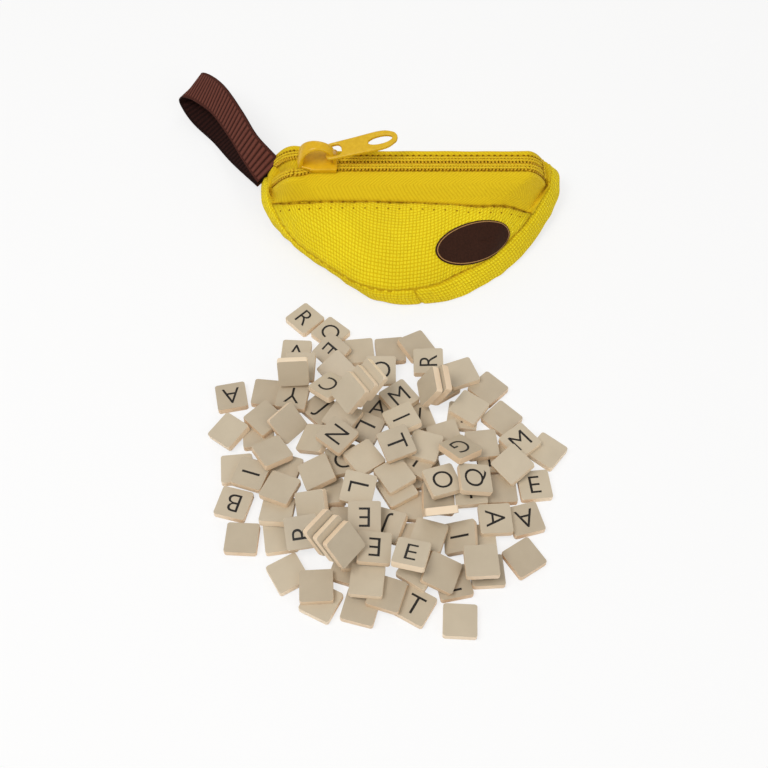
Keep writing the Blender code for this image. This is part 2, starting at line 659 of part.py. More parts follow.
def build_slider(group, cutters):
    """Two plates with turned-in flanges, the post between them and the bridge over the top plate."""
    half = CHAIN_THICK / 2 + SLIDER_CLEARANCE
    slot = TAPE / 2 + SLIDER_CLEARANCE
    outer = temp_object(extruded(slider_outline(), -half - SLIDER_PLATE, half + SLIDER_PLATE, "body"), cutters)
    channel = temp_object(extruded(channel_outline(), -half, half, "channel"), cutters)
    wide = SLIDER_LENGTH + 2 * OVERRUN
    side_slots = temp_object(
        extruded([(-wide / 2, -wide), (wide / 2, -wide), (wide / 2, wide), (-wide / 2, wide)], -slot, slot, "slots"),
        cutters,
    )
    body_mesh = combined(outer, [channel, side_slots], "DIFFERENCE")
    body = temp_object(body_mesh, cutters)

    nose = -SLIDER_LENGTH / 2
    length = SLIDER_LENGTH * 0.26
    post_outline = [
        (nose + SLIDER_PLATE, -SLIDER_POST / 2),
        (nose + length * 0.55, -SLIDER_POST / 2),
        (nose + length, -SLIDER_POST / 6),
        (nose + length, SLIDER_POST / 6),
        (nose + length * 0.55, SLIDER_POST / 2),
        (nose + SLIDER_PLATE, SLIDER_POST / 2),
    ]
    post = temp_object(extruded(post_outline, -half - BRIDGE_FOOT, half + BRIDGE_FOOT, "post"), cutters)

    plate_top = half + SLIDER_PLATE
    reach = SLIDER_LENGTH / 2 - BRIDGE_FOOT
    outer_arc = []
    inner_arc = []
    for k in range(13):
        angle = math.pi * k / 12
        squeeze = 0.7
        c = math.copysign(abs(math.cos(angle)) ** squeeze, math.cos(angle))
        s = math.sin(angle) ** squeeze
        outer_arc.append((reach * c, BRIDGE_HEIGHT * s - BRIDGE_FOOT * (k in (0, 12))))
        inner_arc.append(
            ((reach - BRIDGE_THICK) * c, (BRIDGE_HEIGHT - BRIDGE_THICK) * s - BRIDGE_FOOT * (k in (0, 12)))
        )
    arch = temp_object(
        extruded(outer_arc + inner_arc[::-1], -BRIDGE_WIDTH / 2, BRIDGE_WIDTH / 2, "bridge"), cutters
    )
    arch.data.transform(Matrix.Translation((0, 0, plate_top)) @ Matrix.Rotation(math.pi / 2, 4, "X"))
    mesh = combined(body, [post, arch], "UNION")
    slider = add_object("slider_body", mesh, "slider_enamel", group)
    slider.matrix_world = zip_matrix(SLIDER_REST)
    mesh.set_sharp_from_angle(angle=math.radians(35.0))
    return slider


def rounded_rectangle(x0, x1, half_width, radius, steps=4):
    out = []
    for cx, cy, start in (
        (x1 - radius, half_width - radius, 0),
        (x0 + radius, half_width - radius, 90),
        (x0 + radius, -half_width + radius, 180),
        (x1 - radius, -half_width + radius, 270),
    ):
        for k in range(steps + 1):
            angle = math.radians(start + 90 * k / steps)
            out.append((cx + radius * math.cos(angle), cy + radius * math.sin(angle)))
    return out


def tab_pivot():
    """Hinge line of the pull tab in the chain's frame, under the bridge's tail end."""
    plate_top = CHAIN_THICK / 2 + SLIDER_CLEARANCE + SLIDER_PLATE
    return Vector((SLIDER_LENGTH / 2 - PIVOT_FROM_TAIL, 0.0, plate_top + PIVOT_ABOVE_PLATE))


def build_pull_tab(group, cutters):
    """Flat tab with an eye round the bridge and a long slot near its free end. Its origin is its hinge line."""
    bar = TAB_THICK / 2
    eye_end = TAB_EYE_LENGTH
    blank = rounded_rectangle(-bar, TAB_LENGTH - bar, TAB_WIDTH / 2, TAB_WIDTH * 0.3)
    plate = temp_object(extruded(blank, -TAB_THICK / 2, TAB_THICK / 2, "tab"), cutters)
    waist = (TAB_EYE_WIDTH + 2 * TAB_MARGIN) / 2
    trims = []
    for side in (-1, 1):
        trim = rounded_rectangle(-TAB_WIDTH, eye_end + TAB_MARGIN, TAB_WIDTH / 2, TAB_MARGIN)
        trim = [(x, y + side * (waist + TAB_WIDTH / 2)) for x, y in trim]
        trims.append(temp_object(extruded(trim, -TAB_THICK, TAB_THICK, "trim"), cutters))
    eye = rounded_rectangle(bar, eye_end, TAB_EYE_WIDTH / 2, bar)
    slot_end = TAB_LENGTH - bar - TAB_MARGIN
    slot = rounded_rectangle(slot_end - TAB_SLOT_LENGTH, slot_end, TAB_SLOT_WIDTH / 2, TAB_SLOT_WIDTH * 0.35)
    holes = [temp_object(extruded(o, -TAB_THICK, TAB_THICK, "hole"), cutters) for o in (eye, slot)]
    mesh = combined(plate, trims + holes, "DIFFERENCE")
    tab = add_object("pull_tab", mesh, "slider_enamel", group)
    place = zip_matrix(SLIDER_REST) @ Matrix.Translation(tab_pivot())
    tab.matrix_world = place @ Matrix.Rotation(TAB_YAW, 4, "Z") @ Matrix.Rotation(-TAB_REST_ANGLE, 4, "Y")
    return tab


# Tiles


def tile_outline(steps):
    half = TILE_WIDTH / 2
    return rounded_rectangle(-half, half, half, TILE_CORNER, steps)


def tile_mesh(name, steps):
    return extruded(tile_outline(steps), -TILE_THICK / 2, TILE_THICK / 2, name)


class HeightMap:
    """Top of what lies on the table so far, on a square grid."""

    def __init__(self, low, high):
        self.cell = TILE_WIDTH / 26
        self.xs = np.arange(low[0], high[0], self.cell)
        self.ys = np.arange(low[1], high[1], self.cell)
        self.top = np.zeros((len(self.xs), len(self.ys)))

    def column_range(self, pose, grow):
        """Lowest and highest point of a tile over each cell that it covers."""
        spot = pose.translation
        reach = TILE_WIDTH
        i = np.flatnonzero(np.abs(self.xs - spot.x) < reach)
        j = np.flatnonzero(np.abs(self.ys - spot.y) < reach)
        gx, gy = np.meshgrid(self.xs[i], self.ys[j], indexing="ij")
        low = np.full(gx.shape, -1e3)
        high = np.full(gx.shape, 1e3)
        turn = pose.to_3x3()
        sizes = (TILE_WIDTH / 2 + grow, TILE_WIDTH / 2 + grow, TILE_THICK / 2)
        for axis in range(3):
            for sign in (-1, 1):
                n = turn.col[axis] * sign
                limit = sizes[axis] + n.dot(spot)
                rest = limit - n.x * gx - n.y * gy
                if n.z > 1e-6:
                    high = np.minimum(high, rest / n.z)
                elif n.z < -1e-6:
                    low = np.maximum(low, rest / n.z)
                else:
                    low = np.where(rest < 0, 1e3, low)
        covered = low < high
        return i, j, gx, gy, low, high, covered

    def add(self, pose):
        i, j, _, _, _, high, covered = self.column_range(pose, self.cell / 2)
        window = np.ix_(i, j)
        self.top[window] = np.where(covered, np.maximum(self.top[window], high), self.top[window])


def resting_plane(px, py, heights, cx, cy):
    """Plane over all the heights that is lowest at the centre: three of the points carry it."""
    angle = np.arctan2(py - cy, px - cx)
    triple = []
    for way in (0.3, 0.3 + 2 * math.pi / 3, 0.3 - 2 * math.pi / 3):
        off = np.abs((angle - way + math.pi) % (2 * math.pi) - math.pi)
        distance = np.hypot(px - cx, py - cy)
        triple.append(int(np.argmax(np.where(off < 0.3, distance, -1))))
    for _ in range(200):
        a = np.stack([px[triple], py[triple], np.ones(3)], axis=1)
        plane = np.linalg.solve(a, heights[triple])
        over = heights - (plane[0] * px + plane[1] * py + plane[2])
        worst = int(np.argmax(over))
        if over[worst] < 1e-7:
            return plane
        best = None
        for k in range(3):
            trial = list(triple)
            trial[k] = worst
            b = np.stack([px[trial], py[trial], np.ones(3)], axis=0)
            if abs(np.linalg.det(b)) < 1e-12:
                continue
            weights = np.linalg.solve(b, np.array([cx, cy, 1.0]))
            if best is None or weights.min() > best[0]:
                best = (weights.min(), trial)
        if best[1] == triple:
            return plane
        triple = best[1]
    return plane


def pose_on(plane, cx, cy, turn):
    """Matrix of a tile whose underside lies in the plane, over the given centre."""
    normal = Vector((-plane[0], -plane[1], 1.0)).normalized()
    flat = Vector((math.cos(turn), math.sin(turn), 0.0))
    along = (flat - normal * flat.dot(normal)).normalized()
    side = normal.cross(along)
    matrix = Matrix((along, side, normal)).transposed().to_4x4()
    foot = Vector((cx, cy, plane[0] * cx + plane[1] * cy + plane[2]))
    matrix.translation = foot + normal * (TILE_THICK / 2)
    return matrix


def settle(pile, x, y, turn, gap):
    """Lays a tile on the pile, tilted as its three contacts hold it."""
    plane = np.array([0.0, 0.0, 0.0])
    for _ in range(4):
        pose = pose_on(plane, x, y, turn)
        pose.translation.z += 1.0
        i, j, gx, gy, low, _, covered = pile.column_range(pose, max(gap, 0.0))
        under = low - 1.0 - (plane[0] * gx + plane[1] * gy + plane[2])
        heights = pile.top[np.ix_(i, j)] - under
        heights = heights + np.where(pile.top[np.ix_(i, j)] > 1e-9, gap, 0.0)
        plane = resting_plane(gx[covered], gy[covered], heights[covered], x, y)
    pose = pose_on(plane, x, y, turn)
    return lifted(pile, pose, gap)


def lifted(pile, pose, gap):
    """Raises a posed tile, if need be, until it clears what lies under it."""
    pose = pose.copy()
    i, j, _, _, low, _, covered = pile.column_range(pose, max(gap, 0.0))
    top = pile.top[np.ix_(i, j)]
    need = np.where(covered, top + np.where(top > 1e-9, gap, 0.0) - low, -1e3).max()
    pose.translation.z += max(need, 0.0) if gap > 0 else need
    corners = [pose @ Vector((x, y, -TILE_THICK / 2)) for x, y in tile_outline(1)]
    pose.translation.z += max(0.0, -min(c.z for c in corners))
    return pose


def drop_by(pile, pose):
    """How much a posed tile has to rise to clear the pile. Negative when it can fall."""
    i, j, _, _, low, _, covered = pile.column_range(pose, TILE_GAP)
    top = pile.top[np.ix_(i, j)]
    return np.where(covered, top + np.where(top > 1e-9, TILE_GAP, 0.0) - low, -1e3).max()


def fan(pile, x, y, turn, lean, count):
    """Tiles on their lower edges, each leaning on the one before, dropped onto the pile together."""
    step = TILE_THICK + TILE_GAP
    base = Matrix.Translation((x, y, TILE_WIDTH)) @ Matrix.Rotation(turn, 4, "Z") @ Matrix.Rotation(lean, 4, "Y")
    poses = []
    for k in range(count):
        slip = Matrix.Translation((k * step / math.tan(lean), k * TILE_GAP, k * step))
        poses.append(base @ slip)
    rise = max(drop_by(pile, pose) for pose in poses)
    for pose in poses:
        pose.translation.z += rise
        pile.add(pose)
    return poses


def spread_apart(places, clearance):
    """Nudges the tiles of one layer sideways until none overlap, as they do when they settle flat."""
    spots = [[x * TILE_WIDTH, PILE_BACK + y * TILE_WIDTH, math.radians(t)] for x, y, t in places]
    half = TILE_WIDTH / 2 + clearance / 2
    for _ in range(60):
        moved = False
        for a in range(len(spots)):
            for b in range(a + 1, len(spots)):
                dx = spots[b][0] - spots[a][0]
                dy = spots[b][1] - spots[a][1]
                if math.hypot(dx, dy) > 2.9 * half:
                    continue
                least = None
                for turn in (spots[a][2], spots[b][2]):
                    for axis in ((math.cos(turn), math.sin(turn)), (-math.sin(turn), math.cos(turn))):
                        extent = 0.0
                        for own in (spots[a][2], spots[b][2]):
                            extent += half * (
                                abs(math.cos(own) * axis[0] + math.sin(own) * axis[1])
                                + abs(-math.sin(own) * axis[0] + math.cos(own) * axis[1])
                            )
                        apart = dx * axis[0] + dy * axis[1]
                        overlap = extent - abs(apart)
                        if least is None or overlap < least[0]:
                            least = (overlap, axis, math.copysign(1, apart))
                overlap, axis, way = least
                if overlap > 0:
                    moved = True
                    push = overlap / 2 + TILE_GAP / 20
                    for spot, sign in ((spots[a], -way), (spots[b], way)):
                        spot[0] += axis[0] * push * sign
                        spot[1] += axis[1] * push * sign
        if not moved:
            break
    return spots


def build_tiles(group, cutters):
    reach = TILE_WIDTH * 7.5
    pile = HeightMap((-reach, PILE_BACK - TILE_WIDTH * 13), (reach, PILE_BACK + TILE_WIDTH))
    joined = []
    for level, places in enumerate((FLOOR_TILE_SHARES, SECOND_TILE_SHARES, THIRD_TILE_SHARES)):
        for x, y, turn in spread_apart(places, TILE_GAP * (2 if level == 0 else 1)):
            pose = settle(pile, x, y, turn, -TILE_SINK if level else 0.0)
            pile.add(pose)
            joined.append(pose)
    build_heaps(joined, group, cutters)
    for name, sx, sy, turn in TOP_TILE_SHARES:
        pose = settle(pile, sx * TILE_WIDTH, PILE_BACK + sy * TILE_WIDTH, math.radians(turn), TILE_GAP)
        pile.add(pose)
        place_tile("tile_" + name, pose, group)
    for name, sx, sy, turn, lean, count in FAN_TILE_SHARES:
        x = sx * TILE_WIDTH
        y = PILE_BACK + sy * TILE_WIDTH
        for k, pose in enumerate(fan(pile, x, y, math.radians(turn), math.radians(lean), count), 1):
            place_tile(f"tile_{name}{k}", pose, group)


def place_tile(name, pose, group):
    tile = add_object(name, tile_mesh(name, 2), "tile_ivory", group)
    tile.matrix_world = pose
    return tile


def build_heaps(poses, group, cutters):
    """Joins the lower tiles where they touch. Each group that results is one node."""
    whole = None
    for number, pose in enumerate(poses):
        mesh = tile_mesh(f"lower_{number}", 1)
        mesh.transform(pose)
        tile = temp_object(mesh, cutters)
        if whole is None:
            whole = tile
            continue
        merged = combined(whole, [tile], "UNION")
        whole = temp_object(merged, cutters)
    pieces = loose_parts(whole.data)
    pieces.sort(key=lambda p: (-len(p[1]), round(p[0][0][0] / MM)))
    for number, (points, faces) in enumerate(pieces, 1):
        name = f"tile_group_{number:02d}"
        mesh = bpy.data.meshes.new(name)
        mesh.from_pydata(points, [], faces)
        add_object(name, mesh, "tile_ivory", group)


def loose_parts(mesh):
    """Splits a mesh into its connected pieces."""
    parent = list(range(len(mesh.vertices)))

    def root(v):
        while parent[v] != v:
            parent[v] = parent[parent[v]]
            v = parent[v]
        return v

    for edge in mesh.edges:
        a, b = root(edge.vertices[0]), root(edge.vertices[1])
        parent[a] = b
    groups = {}
    for face in mesh.polygons:
        groups.setdefault(root(face.vertices[0]), []).append(tuple(face.vertices))
    out = []
    for faces in groups.values():
        used = sorted({v for f in faces for v in f})
        renumber = {v: n for n, v in enumerate(used)}
        points = [tuple(mesh.vertices[v].co) for v in used]
        out.append((points, [tuple(renumber[v] for v in f) for f in faces]))
    return out


def build():
    clear_scene()
    case = collection("travel_word_tile_case")
    cutters = collection("cutters", hidden=True)
    near_in, far_in = build_panels(case)
    build_tape("front_tape", -1, FRONT_SEAM_SHARES, case)
    build_tape("back_tape", 1, BACK_SEAM_SHARES, case)
    build_coil("front_coil", -1, case)
    build_coil("back_coil", 1, case)
    build_zip_tack(case)
    build_label(near_in, far_in, case)
    build_loop(case)
    build_slider(case, cutters)
    build_pull_tab(case, cutters)
    build_tiles(case, cutters)
    for obj in cutters.objects:
        obj.hide_render = True
        obj.display_type = "WIRE"


build()
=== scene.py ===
import itertools
import math

import bmesh
import bpy
import numpy as np
from mathutils import Matrix, Vector
from mathutils.bvhtree import BVHTree


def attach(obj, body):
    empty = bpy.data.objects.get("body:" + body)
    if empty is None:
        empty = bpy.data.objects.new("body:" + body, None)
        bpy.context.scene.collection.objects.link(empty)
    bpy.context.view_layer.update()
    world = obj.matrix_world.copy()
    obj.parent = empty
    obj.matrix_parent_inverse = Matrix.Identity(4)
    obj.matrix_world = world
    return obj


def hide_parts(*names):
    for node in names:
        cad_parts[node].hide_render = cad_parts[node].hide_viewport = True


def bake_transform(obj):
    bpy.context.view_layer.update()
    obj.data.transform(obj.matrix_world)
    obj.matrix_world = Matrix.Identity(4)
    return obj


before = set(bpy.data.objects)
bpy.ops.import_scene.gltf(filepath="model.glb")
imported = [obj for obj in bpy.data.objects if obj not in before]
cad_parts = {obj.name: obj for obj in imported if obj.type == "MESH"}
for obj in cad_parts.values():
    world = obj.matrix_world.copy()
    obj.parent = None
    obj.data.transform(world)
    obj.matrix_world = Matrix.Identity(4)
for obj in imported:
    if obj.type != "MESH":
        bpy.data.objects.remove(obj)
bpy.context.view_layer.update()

# Driving dimensions and guide curves, the same as the solids'

MM = 0.001
CASE_HALF_LENGTH = 52.0 * MM
CASE_DEPTH = 59.0 * MM
FRONT_REACH = 22.3 * MM
RIDGE_HEIGHT = 23.4 * MM
CANVAS = 0.9 * MM
SEAM_GAP = 0.3 * MM
PANEL_PUFF = 3.2 * MM
BAND_BULGE = 0.8 * MM
TAPE = 0.7 * MM
CHAIN_WIDTH = 5.6 * MM
CHAIN_THICK = 1.8 * MM
ZIP_LEFT_SHARE = 0.8827
ZIP_RIGHT_SHARE = 0.8635
ZIP_STRAIGHT_SHARE = 0.7154
ZIP_LINE_SHARE = 0.7017
ZIP_DROP_SHARE = 0.4487
ZIP_BACK_SHARE = 0.1102
ZIP_LEFT_END = CASE_HALF_LENGTH * ZIP_LEFT_SHARE
ZIP_RIGHT_END = CASE_HALF_LENGTH * ZIP_RIGHT_SHARE
ZIP_STRAIGHT = CASE_HALF_LENGTH * ZIP_STRAIGHT_SHARE
ZIP_LINE = CASE_DEPTH * ZIP_LINE_SHARE - FRONT_REACH
ZIP_PITCH = math.radians(12.0)
ZIP_END_DROP = RIDGE_HEIGHT * ZIP_DROP_SHARE
ZIP_END_BACK = CASE_DEPTH * ZIP_BACK_SHARE
ROW_SPREAD = 2.0 * MM
SLIDER_REST_SHARE = -0.5885
SLIDER_REST = CASE_HALF_LENGTH * SLIDER_REST_SHARE
SLIDER_LENGTH = 13.4 * MM
SLIDER_PLATE = 1.2 * MM
SLIDER_CLEARANCE = 0.35 * MM
TAB_THICK = 1.2 * MM
PIVOT_FROM_TAIL = 3.1 * MM
PIVOT_ABOVE_PLATE = 3.0 * MM
WEBBING_WIDTH = 11.0 * MM
LOOP_LENGTH = 52.0 * MM
LOOP_ROOT_SHARES = (-0.963, 0.849, 0.504)
LOOP_ROOT = Vector(
    (
        LOOP_ROOT_SHARES[0] * CASE_HALF_LENGTH,
        LOOP_ROOT_SHARES[1] * CASE_DEPTH - FRONT_REACH,
        LOOP_ROOT_SHARES[2] * RIDGE_HEIGHT,
    )
)
LABEL_LENGTH = 27.2 * MM
LABEL_WIDTH = 13.2 * MM
LABEL_TURN = math.radians(21.0)
TILE_WIDTH = 9.0 * MM
TILE_THICK_SHARE = 0.2333
TILE_CORNER_SHARE = 0.061
TILE_SINK_SHARE = 0.0222
PILE_BACK_SHARE = -2.5
TILE_THICK = TILE_WIDTH * TILE_THICK_SHARE
TILE_CORNER = TILE_WIDTH * TILE_CORNER_SHARE
TILE_GAP = 0.32 * MM
TILE_SINK = TILE_WIDTH * TILE_SINK_SHARE
PILE_BACK = TILE_WIDTH * PILE_BACK_SHARE
BAND_LOW_SHARES = (
    (-0.945, 0.985, 0.27), (-0.975, 0.89, 0.26), (-0.985, 0.79, 0.25), (-0.97, 0.70, 0.20),
    (-0.90, 0.58, 0.11), (-0.775, 0.46, 0.05),
    (-0.60, 0.315, 0.02), (-0.48, 0.235, 0.015), (-0.34, 0.12, 0.015), (-0.20, 0.042, 0.015),
    (0.0, 0.02, 0.015), (0.24, 0.05, 0.015), (0.43, 0.14, 0.02), (0.62, 0.275, 0.025),
    (0.77, 0.43, 0.06), (0.895, 0.605, 0.13), (0.96, 0.72, 0.20), (0.99, 0.82, 0.28),
    (0.985, 0.91, 0.33), (0.95, 1.00, 0.36),
)
BAND_TOP_SHARES = (
    (-0.925, 0.975, 0.375), (-0.94, 0.88, 0.40), (-0.93, 0.79, 0.475), (-0.92, 0.70, 0.475),
    (-0.895, 0.61, 0.43), (-0.765, 0.405, 0.305),
    (-0.60, 0.262, 0.295), (-0.477, 0.168, 0.30), (-0.32, 0.062, 0.32), (-0.14, 0.02, 0.32),
    (0.0, 0.028, 0.32), (0.155, 0.065, 0.32), (0.28, 0.127, 0.325), (0.49, 0.247, 0.34),
    (0.64, 0.385, 0.375), (0.76, 0.52, 0.41), (0.84, 0.635, 0.47), (0.888, 0.72, 0.51),
    (0.918, 0.85, 0.545), (0.885, 0.985, 0.49),
)
FRONT_SEAM_SHARES = (
    (-0.875, 0.618, 0.45), (-0.77, 0.572, 0.565), (-0.55, 0.525, 0.715), (-0.33, 0.514, 0.747),
    (0.0, 0.506, 0.745), (0.23, 0.495, 0.74), (0.42, 0.489, 0.72), (0.60, 0.52, 0.635),
    (0.745, 0.55, 0.445),
)
BACK_SEAM_SHARES = (
    (-0.885, 0.965, 0.42), (-0.73, 0.915, 0.56), (-0.40, 0.885, 0.63), (0.0, 0.88, 0.64),
    (0.40, 0.885, 0.63), (0.73, 0.915, 0.56), (0.865, 0.96, 0.43),
)
BACK_FOLD_SHARES = (
    (-0.89, 0.915, 0.27), (-0.73, 0.81, 0.06), (-0.46, 0.745, 0.0), (0.0, 0.735, 0.0),
    (0.46, 0.745, 0.0), (0.73, 0.81, 0.06), (0.89, 0.915, 0.27),
)
BACK_WALL_SHARES = (
    (-0.90, 0.955, 0.34), (-0.73, 0.885, 0.27), (-0.38, 0.868, 0.26), (0.0, 0.865, 0.26),
    (0.38, 0.868, 0.26), (0.73, 0.885, 0.27), (0.90, 0.955, 0.34),
)
BAND_SPLIT_SHARE = 0.515
LOOP_SHARES = (
    (0.0, 0.0, 0.0), (-0.092, 0.148, 0.069), (-0.196, 0.327, 0.112), (-0.335, 0.573, 0.108),
    (-0.482, 0.786, 0.038), (-0.563, 0.885, -0.038), (-0.573, 0.89, -0.14), (-0.483, 0.749, -0.169),
    (-0.327, 0.563, -0.169), (-0.178, 0.322, -0.128), (-0.063, 0.045, -0.058),
)
LOOP_LEAN_SHARES = (
    (-0.48, -0.61, -0.62), (-0.64, 0.0, -0.76), (-0.65, 0.15, -0.73), (-0.65, 0.0, -0.76),
    (-0.71, -0.22, -0.66), (-0.67, -0.48, -0.56), (-0.64, -0.65, -0.40), (-0.60, -0.72, -0.30),
    (-0.62, -0.70, -0.35), (-0.55, -0.70, -0.35), (-0.35, -0.72, -0.28),
)
FLOOR_TILE_SHARES = (
    (-3.7, -0.7, -45), (-2.8, -1.3, -42), (-2.0, -1.9, 6), (-3.1, -4.4, -45), (-0.8, -2.0, 6),
    (0.9, -3.5, 33), (-1.2, -4.4, -12), (-6.0, -3.9, -168), (-5.0, -3.8, -6), (-5.7, -6.7, 6),
    (-5.7, -8.0, 165), (-5.3, -9.1, -3), (-2.6, -8.5, 21), (-3.9, -10.2, 30), (-4.2, -9.2, 9),
    (-2.8, -11.2, -27), (-2.1, -10.3, -18), (0.0, -11.3, -30), (-0.1, -8.9, 3), (2.7, -7.4, 3),
    (2.5, -6.4, 6), (2.5, -3.6, -45), (1.6, -4.7, -9), (0.3, -7.2, 12), (-0.2, -7.9, -6),
    (3.8, -7.4, 6), (3.4, -8.5, -165), (4.2, -6.1, -39), (2.0, -9.2, 3), (1.0, -10.7, 12),
    (1.2, -11.7, -3), (3.1, -9.6, 33), (-4.2, -6.7, -18), (-5.1, -5.4, 6), (-1.7, -11.2, -15),
)
SECOND_TILE_SHARES = (
    (-2.8, -2.1, -135), (-4.0, -2.1, -3), (-4.1, -4.1, 171), (0.1, -1.9, 33), (1.6, -3.1, 21),
    (-1.6, -5.2, -117), (-6.0, -5.3, 51), (-4.9, -4.9, 45), (-5.2, -7.0, 72), (-4.3, -8.3, -6),
    (-2.7, -7.9, 6), (-0.8, -8.6, 159), (-3.0, -10.8, 3), (-0.9, -11.0, -18), (0.0, -10.3, -33),
    (0.7, -7.8, 0), (1.6, -7.8, 3), (2.3, -5.9, 6), (3.2, -5.8, 39), (2.9, -4.8, 45),
    (0.1, -4.8, 18), (1.0, -5.5, 18), (-2.3, -6.7, 12), (-0.5, -7.6, 30), (0.0, -6.7, -33),
    (2.2, -8.4, -87), (1.6, -9.2, 90), (2.1, -10.2, -177), (-1.8, -9.5, 3), (-2.2, -8.5, 0),
)
THIRD_TILE_SHARES = (
    (-2.6, -2.9, 42), (-3.8, -2.9, -3), (-4.1, -5.3, 48), (-3.3, -5.6, -21), (-4.4, -6.3, 33),
    (-4.2, -7.5, -24), (-3.3, -8.1, 9), (-3.1, -7.0, 21), (-1.5, -10.7, -6), (0.4, -9.3, -18),
    (1.8, -4.5, -36), (0.3, -6.1, -18), (-0.7, -7.1, 33), (3.1, -6.7, 39), (1.0, -10.3, -21),
    (-2.4, -5.0, -36), (-1.6, -6.6, 36), (1.5, -10.2, 3),
)
TOP_TILE_SHARES = (
    ("C", -2.8, -3.9, 135), ("O", -1.1, -2.9, 0), ("R", 0.5, -2.8, 90), ("M", -0.5, -4.1, 36),
    ("N", -2.5, -5.9, 51), ("R2", -3.5, -9.1, 99), ("I", -0.4, -5.2, -66), ("L", -1.8, -7.7, -102),
    ("E", -1.6, -8.7, -180), ("E2", -1.3, -9.8, 177), ("E3", -0.2, -10.1, -15), ("O2", 0.8, -7.4, 21),
    ("Q", 1.8, -7.4, 93), ("G", 1.4, -6.4, -138), ("T", -0.6, -6.2, -69),
)
FAN_TILE_SHARES = (
    ("fan_a", -1.5, -4.1, 215, 44, 3), ("fan_b", -2.75, -9.6, -39, 50, 3),
    ("fan_c", 0.8, -4.0, 187, 60, 2), ("fan_d", 0.7, -8.6, 97, 64, 1), ("fan_e", -4.0, -3.5, -87, 72, 1),
)

# Where the look departs from the solids, and sizes that only the look has

CROWN_HEIGHT = 8.0 * MM
TAB_YAW = math.radians(10.0)
TAB_TILT = math.radians(8.0)
TAB_SHIFT = Vector((0.0, 0.3, 0.3)) * MM
LABEL_X = 0.388 * CASE_HALF_LENGTH
LABEL_Y = 0.274 * CASE_DEPTH - FRONT_REACH
LOOP_START_SHIFT = Vector((2.0, -0.4, 0.2)) * MM
LOOP_END_SHIFT = Vector((5.0, -2.3, 0.8)) * MM
TIP_SHIFT = np.array([-1.6, -3.6, -0.6]) * MM
TIP_REACH = 9 * MM
CLOTH = 0.5 * MM
TAPE_CLOTH = 0.4 * MM
PANEL_UP = (0.0, -0.4, 0.92)


def catmull(points, steps=24):
    """Points of a smooth curve through the given ones."""
    p = np.array([tuple(q) for q in points], float)
    padded = np.vstack([2 * p[0] - p[1], p, 2 * p[-1] - p[-2]])
    out = []
    for i in range(1, len(padded) - 2):
        a, b, c, d = padded[i - 1 : i + 3]
        for t in np.linspace(0, 1, steps, endpoint=False):
            bend = (2 * a - 5 * b + 4 * c - d) * t**2 + (3 * b - a - 3 * c + d) * t**3
            out.append(0.5 * (2 * b + (c - a) * t + bend))
    out.append(padded[-2])
    return np.array(out)


def unit(vectors):
    """The same direction with length one, for one vector or an array of them."""
    vectors = np.asarray(vectors, float)
    return vectors / np.linalg.norm(vectors, axis=-1, keepdims=True)


def share_of(value, start, end):
    """How far a value has gone from start to end, from 0 to 1."""
    return min(max((value - start) / (end - start), 0.0), 1.0)


def eased(share):
    return share * share * (3 - 2 * share)


def lengths(curve):
    """Distance along a curve at each of its points."""
    return np.concatenate([[0], np.cumsum(np.linalg.norm(np.diff(curve, axis=0), axis=1))])


def along_curve(curve, wanted, guide_curve=None):
    """Points at the given distances along a curve, or along its guide."""
    place = lengths(curve if guide_curve is None else guide_curve)
    return np.stack([np.interp(wanted, place, curve[:, k]) for k in range(3)], axis=1)


def resample(curve, count, start=0.0, end=1.0):
    """Evenly spaced points on part of a curve."""
    return along_curve(curve, np.linspace(start, end, count) * lengths(curve)[-1])


def share_nearest(curve, place):
    """How far along a curve, as a share of its length, a place lies."""
    length = lengths(curve)
    return float(length[np.argmin(np.linalg.norm(curve - place, axis=1))] / length[-1])


def guide(shares):
    """A guide curve of the pouch from its shares."""
    return catmull(
        [
            (x * CASE_HALF_LENGTH, y * CASE_DEPTH - FRONT_REACH, z * RIDGE_HEIGHT)
            for x, y, z in shares
        ]
    )


def moved_towards(points, others, distance):
    return points + unit(others - points) * distance


def puffed(low, high, row_count, puff, up):
    """Rows from one edge to the other, raised between them, less towards the ends."""
    along = len(low)
    end_fade = 1 - np.abs(np.linspace(-1, 1, along)) ** 4
    rows = []
    for w in np.linspace(0, 1, row_count):
        lift = puff * (1 - (2 * w - 1) ** 2) * end_fade
        rows.append(low + (high - low) * w + lift[:, None] * np.array(up))
    return rows


def zip_centre(x):
    """Place of the chain's centre line at x: straight along the ridge, dropping at both ends."""
    end = ZIP_LEFT_END if x < 0 else ZIP_RIGHT_END
    share = max(0.0, (abs(x) - ZIP_STRAIGHT) / (end - ZIP_STRAIGHT))
    return Vector((x, ZIP_LINE + ZIP_END_BACK * share**2, RIDGE_HEIGHT - ZIP_END_DROP * share**2))


def zip_frame(x):
    """Centre, along, across and normal vectors of the chain at x."""
    step = SEAM_GAP
    along = (zip_centre(x + step) - zip_centre(x - step)).normalized()
    across = Vector((0.0, math.cos(ZIP_PITCH), math.sin(ZIP_PITCH)))
    across = (across - along * across.dot(along)).normalized()
    return zip_centre(x), along, across, along.cross(across)


def row_spread(x):
    """How far each row stands off the centre line, past the slider's nose."""
    start = SLIDER_REST + SLIDER_LENGTH * 0.1
    return ROW_SPREAD * eased(share_of(x, start, start - SLIDER_LENGTH * 0.6))


def zip_point(x, side, off, height=0.0):
    """A point beside the chain: side is -1 for the front row and 1 for the back one."""
    centre, _, across, normal = zip_frame(x)
    return centre + across * side * (off + row_spread(x)) + normal * height


def zip_row(xs, side, off, height):
    return np.array([tuple(zip_point(x, side, off, height)) for x in xs])


def zip_line(xs):
    """Places on the chain's centre line."""
    return np.array([tuple(zip_centre(x)) for x in xs])


